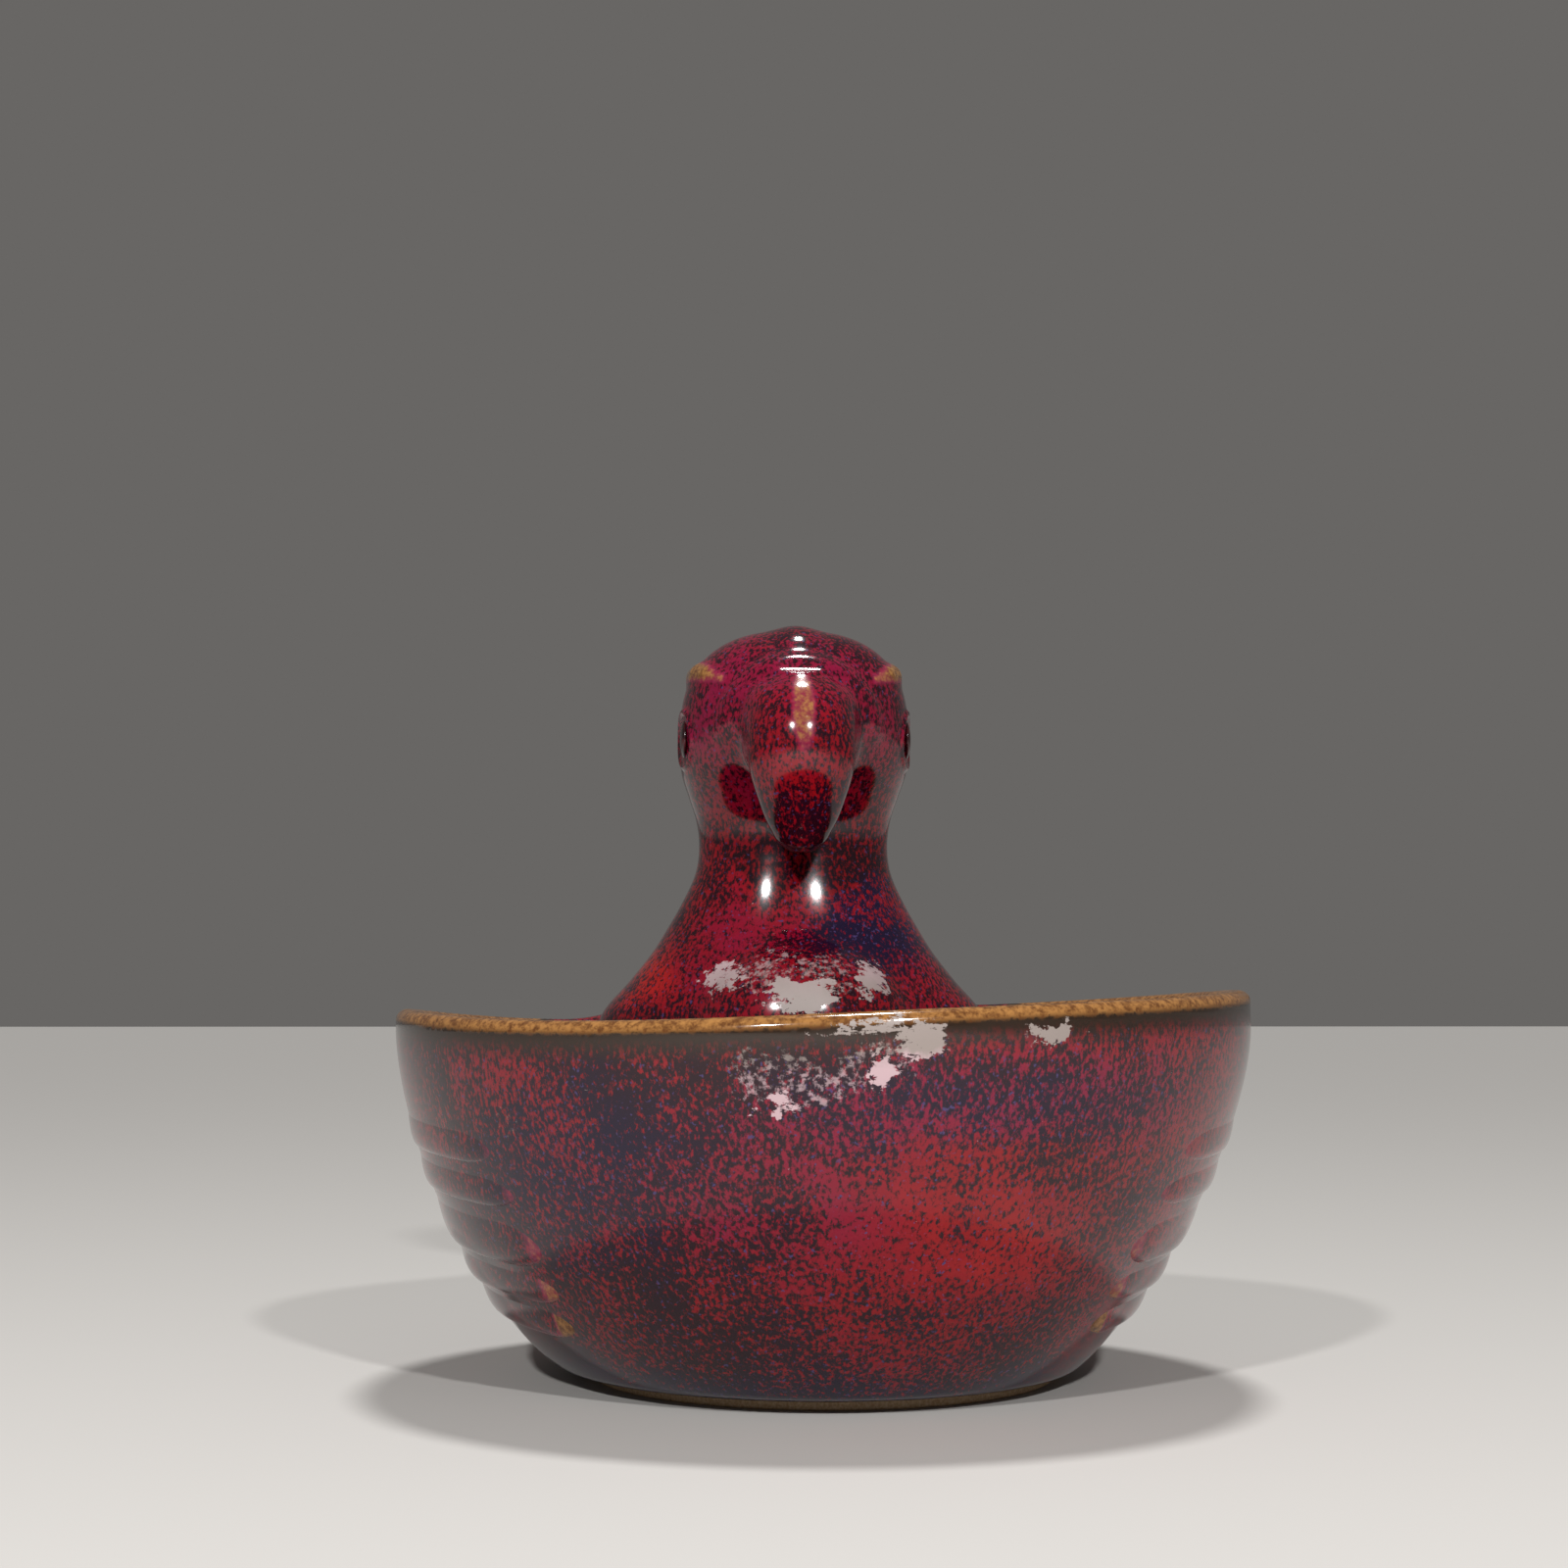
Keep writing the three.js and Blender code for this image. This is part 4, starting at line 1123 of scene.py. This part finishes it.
GLAZE_SUMS = [
    ("level", "MULTIPLY_ADD", "mottle", 0.25, "streak"),
    ("level", "MULTIPLY_ADD", "cloud", 0.3, "level"),
    ("level", "ADD", "level", "red"),
    ("level", "SUBTRACT", "level", 0.275),
    ("hue", "MULTIPLY_ADD", "mottle", 1.0, "magenta"),
    ("hue", "MULTIPLY_ADD", "cloud", 0.8, "hue"),
    ("hue", "SUBTRACT", "hue", 0.9),
    ("cold", "MULTIPLY_ADD", "mottle", -0.8, "blue"),
    ("cold", "ADD", "cold", 0.4),
    ("warmth", "MULTIPLY", "ember", "mottle"),
    ("flecks", "MULTIPLY_ADD", "blue", 0.04, "speck"),
    ("depth", "MULTIPLY_ADD", "crumb", 2.0, "drop"),
    ("cover", "MULTIPLY_ADD", "torn", 1.7, "dull"),
    ("cover", "MULTIPLY_ADD", "crumb", 0.8, "cover"),
    ("crumbs", "MULTIPLY_ADD", "crumb", 2.4, "mist"),
    ("crumbs", "MULTIPLY_ADD", "torn", 1.2, "crumbs"),
    ("tint", "MULTIPLY_ADD", "crumb", 0.6, "thin"),
    ("relief", "MULTIPLY", "streak", 0.5),
]
GLAZE_SPANS = {
    # name: what is measured, where the share is 0, and where it is 1
    "red_share": ("level", 0.43, 0.60),
    "cold_share": ("cold", 0.0, 0.9),
    "magenta_share": ("hue", 0.0, 1.0),
    "ember_share": ("warmth", 0.1, 0.6),
    "fleck_share": ("flecks", 0.64, 0.80),
    "rose_share": ("tint", 0.45, 0.95),
    "olive_share": ("depth", 7.0, 3.2),
    "amber_grain": ("crumb", 0.35, 0.65),
    "lip_share": ("depth", 3.0, 2.3),
    "bare_share": ("tint", 0.72, 1.05),
    "rosy_share": ("magenta", 0.15, 0.45),
    "mist_share": ("crumbs", 2.72, 3.1),
    "dull_share": ("cover", 1.62, 1.70),
}
COATS = [
    # result, share of the upper colour, lower colour, upper colour
    ("dark", "cold_share", AUBERGINE, PLUM),
    ("warm", "magenta_share", CRIMSON, MAGENTA),
    ("warm", "ember_share", "warm", EMBER),
    ("coat", "red_share", "dark", "warm"),
    ("coat", "fleck_share", "coat", VIOLET_SPECK),
    ("coat", "rose_share", "coat", ROSE),
    ("coat", "olive_share", "coat", OLIVE),
    ("amber", "amber_grain", AMBER_DARK, AMBER),
    ("coat", "lip_share", "coat", "amber"),
    ("coat", "bare_share", "coat", "amber"),
    ("pale", "rosy_share", DULL_SKIN, DULL_ROSE),
    ("coat", "skin_share", "coat", "pale"),
]
print(len(GLAZE_SUMS), "sums,", len(GLAZE_SPANS), "spans,", len(COATS), "coats")

# %% A new finish
GLASS_IOR = 1.52
MIX_SHARE, MIX_LOWER, MIX_UPPER, MIX_RESULT = 0, 6, 7, 2


def new_finish(name):
    """A material with its tree, a glass-like shader, and places in millimetres."""
    material = bpy.data.materials.new(name)
    material.use_nodes = True
    tree = material.node_tree
    tree.nodes.clear()
    shader = add(tree, "ShaderNodeBsdfPrincipled", {"IOR": GLASS_IOR})
    add(tree, "ShaderNodeOutputMaterial", {"Surface": shader})
    place = add(tree, "ShaderNodeTexCoord", out="Object")
    mm = add(tree, "ShaderNodeVectorMath", {0: place, "Scale": 1 / MM}, operation="SCALE")
    return material, tree, shader.node, mm


print("a glaze is glass, with an IOR of", GLASS_IOR)

# %% Drawing the places and zones


def draw_places(tree, known):
    """Stretched places for the streaks, and wandering ones for the zones."""
    for name, settings in PLACES.items():
        known[name] = add(tree, "ShaderNodeMapping", {"Vector": known["mm"], **settings})
    for name, (size, reach) in WANDERS.items():
        bends = {"Vector": known["mm"], "Scale": 1 / size}
        bends |= {"Detail": WANDER_DETAIL, "Roughness": WANDER_ROUGHNESS}
        drift = add(tree, "ShaderNodeTexNoise", bends, out="Color")
        drift = add(tree, "ShaderNodeVectorMath", [drift, NOISE_MIDDLE], operation="SUBTRACT")
        terms = [drift, (reach, reach, reach), known["mm"]]
        known[name] = add(tree, "ShaderNodeVectorMath", terms, operation="MULTIPLY_ADD")


def draw_zones(tree, known):
    """Adds up each group of zones: a zone is 1 at its middle and 0 at its edge."""
    for name, (place, total, keep_within, rows) in ZONES.items():
        for centre, radii, strength in rows:
            inputs = {"Vector": known[place], "Location": centre, "Scale": radii}
            away = add(tree, "ShaderNodeMapping", inputs, vector_type="TEXTURE")
            away = add(tree, "ShaderNodeVectorMath", [away], out="Value", operation="LENGTH")
            inputs = {"Value": away, "From Min": 1.0, "From Max": ZONE_CORE}
            near = add(tree, "ShaderNodeMapRange", inputs, interpolation_type="SMOOTHSTEP")
            total = add(tree, "ShaderNodeMath", [near, strength, total],
                        operation="MULTIPLY_ADD", use_clamp=keep_within)
        known[name] = total


print(len(PLACES) + len(WANDERS), "places and", len(ZONES), "groups of zones to draw")

# %% Flambé glaze
GLOSS = 0.12
DULL = 0.5
MIST_STRENGTH = 0.6
GLAZE_BUMP = 0.15
GLAZE_RELIEF = 0.05 * MM


def draw_glaze(tree, known):
    """Noises, zones, sums, spans and coats, in that order."""
    draw_places(tree, known)
    for name, (place, size, detail, roughness) in NOISES.items():
        inputs = {"Vector": known[place], "Scale": 1 / size}
        inputs |= {"Detail": detail, "Roughness": roughness}
        known[name] = add(tree, "ShaderNodeTexNoise", inputs)
    draw_zones(tree, known)
    for name, operation, *terms in GLAZE_SUMS:
        known[name] = add(tree, "ShaderNodeMath", terms_of(terms, known), operation=operation)
    for name, (value, low, high) in GLAZE_SPANS.items():
        inputs = {"Value": known[value], "From Min": low, "From Max": high}
        known[name] = add(tree, "ShaderNodeMapRange", inputs, interpolation_type="SMOOTHSTEP")
    terms = [known["mist_share"], MIST_STRENGTH]
    known["mist_share"] = add(tree, "ShaderNodeMath", terms, operation="MULTIPLY")
    terms = [known["mist_share"], known["dull_share"]]
    known["skin_share"] = add(tree, "ShaderNodeMath", terms, operation="MAXIMUM")
    for name, *terms in COATS:
        share, lower, upper = terms_of(terms, known)
        inputs = {MIX_SHARE: share, MIX_LOWER: lower, MIX_UPPER: upper}
        known[name] = add(tree, "ShaderNodeMix", inputs, out=MIX_RESULT, data_type="RGBA")


def flambe_glaze():
    material, tree, shader, mm = new_finish("copper_red_flambe_glaze")
    known = {
        "mm": mm,
        "drop": add(tree, "ShaderNodeAttribute", out="Fac", attribute_name="lip_drop"),
        "thin": add(tree, "ShaderNodeAttribute", out="Fac", attribute_name="thin_glaze"),
    }
    draw_glaze(tree, known)
    inputs = {"Value": known["skin_share"], "To Min": GLOSS, "To Max": DULL}
    rough = add(tree, "ShaderNodeMapRange", inputs)
    height = {"Height": known["relief"], "Strength": GLAZE_BUMP, "Distance": GLAZE_RELIEF}
    bump = add(tree, "ShaderNodeBump", height)
    for name, value in (("Base Color", known["coat"]), ("Roughness", rough), ("Normal", bump)):
        tree.links.new(value, shader.inputs[name])
    return material


glaze = flambe_glaze()
print("glaze nodes", len(glaze.node_tree.nodes))

# %% [markdown]
# ## The eye glaze and the bare clay
# The eyes are pellets dipped in an iron glaze, which copper fumes from the coat around them tint
# towards crimson: a plain glass, darker than the red. The foot ring was wiped clean before firing,
# so that it wouldn't stick to the shelf: it shows the stoneware itself, a dull tan body with sand
# grains of about 0.3 mm and a few iron specks.

# %% Eye glaze
IRON_DARK = linear("#22090d")
IRON_BROWN = linear("#4a141a")
EYE_MOTTLE = 1.5
EYE_SPAN = (0.4, 0.7)
EYE_GLOSS = 0.2


def eye_glaze():
    material, tree, shader, mm = new_finish("dark_iron_glaze")
    cloud = add(tree, "ShaderNodeTexNoise", {"Vector": mm, "Scale": 1 / EYE_MOTTLE})
    low, high = EYE_SPAN
    share = add(tree, "ShaderNodeMapRange", {"Value": cloud, "From Min": low, "From Max": high})
    inputs = {MIX_SHARE: share, MIX_LOWER: IRON_DARK, MIX_UPPER: IRON_BROWN}
    colour = add(tree, "ShaderNodeMix", inputs, out=MIX_RESULT, data_type="RGBA")
    tree.links.new(colour, shader.inputs["Base Color"])
    shader.inputs["Roughness"].default_value = EYE_GLOSS
    return material


eye_finish = eye_glaze()
print(eye_finish.name, len(eye_finish.node_tree.nodes), "nodes")

# %% Bare clay
CLAY_TAN = linear("#b5916b")
CLAY_PALE = linear("#cdb18e")
IRON_SPECK = linear("#5a3c28")
GRAIN_SIZE = 0.35
IRON_SPACING = 2.2
GRAIN_SPAN = (0.35, 0.65)
IRON_SPAN = (0.66, 0.70)
CLAY_BUMP = 0.4
CLAY_RELIEF = 0.1 * MM
CLAY_ROUGHNESS = 0.85


def bare_clay():
    material, tree, shader, mm = new_finish("unglazed_stoneware")
    grain = add(tree, "ShaderNodeTexNoise", {"Vector": mm, "Scale": 1 / GRAIN_SIZE, "Detail": 3.0})
    iron = {"Vector": mm, "Scale": 1 / IRON_SPACING, "Detail": 4.0, "Roughness": 0.8}
    iron = add(tree, "ShaderNodeTexNoise", iron)
    colour = CLAY_TAN
    layers = ((grain, GRAIN_SPAN, CLAY_PALE), (iron, IRON_SPAN, IRON_SPECK))
    for noise, (low, high), upper in layers:
        share = add(tree, "ShaderNodeMapRange", {"Value": noise, "From Min": low, "From Max": high})
        inputs = {MIX_SHARE: share, MIX_LOWER: colour, MIX_UPPER: upper}
        colour = add(tree, "ShaderNodeMix", inputs, out=MIX_RESULT, data_type="RGBA")
    height = {"Height": grain, "Strength": CLAY_BUMP, "Distance": CLAY_RELIEF}
    bump = add(tree, "ShaderNodeBump", height)
    for name, value in (("Base Color", colour), ("Normal", bump)):
        tree.links.new(value, shader.inputs[name])
    shader.inputs["Roughness"].default_value = CLAY_ROUGHNESS
    return material


clay = bare_clay()
print(clay.name, len(clay.node_tree.nodes), "nodes")
body.data.materials.append(glaze)
head.data.materials.append(glaze)

# %% Wings
WING_VALUES = {name: value for name, _, value in WING_INPUTS if value is not None}
WING_VALUES["Wall"] = guide
tree = wing_tree(glaze)
wings = []
for name, side in (("left", -1), ("right", 1)):
    points = feather_points(f"{name}_feather_points", side)
    wing = made_real(f"{name}_wing", points, tree, WING_VALUES, glaze)
    face_outwards(wing.data)
    wings.append(wing)
    print(wing.name, len(wing.data.polygons), "faces,", [m.name for m in wing.data.materials])
bpy.data.objects.remove(guide)

# %% [markdown]
# ## Eyes and foot ring
# Each eye is a low dome that sits in its coil. It is a flattened ball, sunk into the head.
# The foot ring is an oval band with its edges softened by the sponge that wiped it, and it runs up
# into the bowl, so that no gap shows between them.

# %% Eyes
EYE_SINK = 0.3
EYE_SEGMENTS = 48
EYE_BANDS = 32


def eye(name, side):
    bm = bmesh.new()
    bmesh.ops.create_uvsphere(bm, u_segments=EYE_SEGMENTS, v_segments=EYE_BANDS, radius=1)
    seat = on_skull((0, EYE_Y, EYE_HEIGHT), (side, 0, 0)) + BIRD_MIDDLE - (side * EYE_SINK, 0, 0)
    for vert in bm.verts:
        round_x, round_y, round_z = vert.co.z, vert.co.x, vert.co.y
        vert.co.x = (seat[0] + EYE_BULGE * round_x) * MM
        vert.co.y = (seat[1] + EYE_RADIUS * round_y) * MM
        vert.co.z = (seat[2] + EYE_RADIUS * round_z) * MM
    bmesh.ops.recalc_face_normals(bm, faces=bm.faces[:])
    for face in bm.faces:
        face.smooth = True
    mesh = bpy.data.meshes.new(name)
    bm.to_mesh(mesh)
    bm.free()
    mesh.materials.append(eye_finish)
    obj = bpy.data.objects.new(name, mesh)
    bpy.context.scene.collection.objects.link(obj)
    return obj


eyes = [eye("left_eye_pellet", -1), eye("right_eye_pellet", 1)]
print([o.name for o in eyes])

# %% Foot ring
foot_high = np.array(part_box("foot_ring")[1]) / MM
FOOT_BAND = 5.0
FOOT_TOP = BOWL_BASE + 0.4
FOOT_EDGE = 0.45
FOOT_SIDES = 160
EDGE_STEPS = 5


def foot_section():
    """Distance in from the outer edge and height, round the band's section."""
    turns = np.linspace(0, math.pi / 2, EDGE_STEPS)
    rounds = [(FOOT_EDGE * (1 - math.cos(t)), FOOT_EDGE * (1 - math.sin(t))) for t in turns]
    section = [(0, FOOT_TOP)] + rounds
    section += [(FOOT_BAND - height, inset) for inset, height in rounds]
    return section + [(FOOT_BAND, FOOT_TOP)]


def foot_ring(name):
    turns = np.arange(FOOT_SIDES) / FOOT_SIDES * math.tau
    points = [
        ((foot_high[0] - inset) * math.cos(t), (foot_high[1] - inset) * math.sin(t), z)
        for inset, z in foot_section() for t in turns
    ]
    rows = len(foot_section())
    faces = []
    for r in range(rows):
        here, there = r * FOOT_SIDES, (r + 1) % rows * FOOT_SIDES
        for s in range(FOOT_SIDES):
            n = (s + 1) % FOOT_SIDES
            faces.append((here + s, here + n, there + n, there + s))
    obj = mesh_object(name, points, faces)
    face_outwards(obj.data)
    obj.data.materials.append(clay)
    return obj


foot = foot_ring("bare_foot_ring")
print("foot ring", len(foot.data.polygons), "faces")

# %% [markdown]
# ## Which imported pieces each skin stands for
# The imported solids are kept, hidden. The skins are what is seen.

# %% Ride on the root body, and hide what each skin stands for
FEATHER_COUNT = 5
COVERT_COUNT = 3


def wing_nodes(side):
    feathers = [f"{side}_wing_feather_{n}" for n in range(1, FEATHER_COUNT + 1)]
    coverts = [f"{side}_wing_covert_{n}" for n in range(1, COVERT_COUNT + 1)]
    return feathers + coverts + [f"{side}_shoulder"]


STANDS_FOR = [
    (body, "flambe_glaze", ["bowl", "mantle", "neck"]),
    (head, "flambe_glaze", ["head", "upper_beak", "lower_beak", "cere", "crest", "left_brow",
                            "right_brow", "left_eye_ring", "right_eye_ring"]),
    (wings[0], "flambe_glaze", wing_nodes("left")),
    (wings[1], "flambe_glaze", wing_nodes("right")),
    (eyes[0], "dark_glaze", ["left_eye"]),
    (eyes[1], "dark_glaze", ["right_eye"]),
    (foot, "bare_clay", ["foot_ring"]),
]
for piece, slot, nodes in STANDS_FOR:
    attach(piece, "root")
    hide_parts(*nodes)
print(len(STANDS_FOR), "pieces for", sum(len(nodes) for _, _, nodes in STANDS_FOR), "nodes")

# %% [markdown]
# ## Floor and light
# A plain pale floor under a plain grey surround, which is darker than the floor so that its
# reflection in the gloss leaves the deep reds deep. Two small lamps in front, either side of the
# camera, give the paired dots on the beak and the neck. A light from high above and behind gives
# the highlights on the crown, the mantle and the lip, and lights the floor evenly.

# %% Floor
FLOOR_GREY = linear("#bfbcb8")
FLOOR_SIZE = 12.0
FLOOR_ROUGHNESS = 0.9


def make_floor():
    mesh = bpy.data.meshes.new("floor")
    corners = [(-1, -1), (1, -1), (1, 1), (-1, 1)]
    mesh.from_pydata([(FLOOR_SIZE * x, FLOOR_SIZE * y, 0) for x, y in corners], [], [(0, 1, 2, 3)])
    obj = bpy.data.objects.new("floor", mesh)
    bpy.context.scene.collection.objects.link(obj)
    material, _, shader, _ = new_finish("pale_floor")
    shader.inputs["Base Color"].default_value = FLOOR_GREY
    shader.inputs["Roughness"].default_value = FLOOR_ROUGHNESS
    mesh.materials.append(material)


make_floor()
print("floor", 2 * FLOOR_SIZE, "m across")

# %% Lamps and surround
SURROUND = linear("#686664")
SURROUND_STRENGTH = 1.0
LAMPS = [
    # name, azimuth and elevation in degrees, distance and size in metres, watts
    ("left_front_lamp", -22, 30, 0.95, 0.045, 4.6),
    ("right_front_lamp", 16, 30, 0.95, 0.045, 4.6),
]
SKY_LIGHT = ("overhead_light", 170, 72)
SKY_SPREAD = math.radians(7)
SKY_STRENGTH = 2.0
SKY_DISTANCE = 1.0


def hang_light(data, azimuth, elevation, distance):
    """Hangs a light in a direction from the object and turns it to face the object."""
    lamp = bpy.data.objects.new(data.name, data)
    turn, tilt = math.radians(azimuth), math.radians(elevation)
    level = math.cos(tilt)
    out = np.array([math.sin(turn) * level, -math.cos(turn) * level, math.sin(tilt)])
    lamp.location = out * distance + (0, 0, EYE_LEVEL)
    lamp.rotation_euler = (math.pi / 2 - tilt, 0, turn)
    bpy.context.scene.collection.objects.link(lamp)


for name, azimuth, elevation, distance, size, watts in LAMPS:
    data = bpy.data.lights.new(name, "AREA")
    data.shape = "DISK"
    data.size = size
    data.energy = watts
    hang_light(data, azimuth, elevation, distance)
name, azimuth, elevation = SKY_LIGHT
data = bpy.data.lights.new(name, "SUN")
data.angle = SKY_SPREAD
data.energy = SKY_STRENGTH
hang_light(data, azimuth, elevation, SKY_DISTANCE)
world = bpy.data.worlds.new("surround")
bpy.context.scene.world = world
world.use_nodes = True
background = world.node_tree.nodes["Background"].inputs
background["Color"].default_value = SURROUND
background["Strength"].default_value = SURROUND_STRENGTH
print(len(LAMPS) + 1, "lights")
bpy.context.scene.view_settings.view_transform = "Standard"
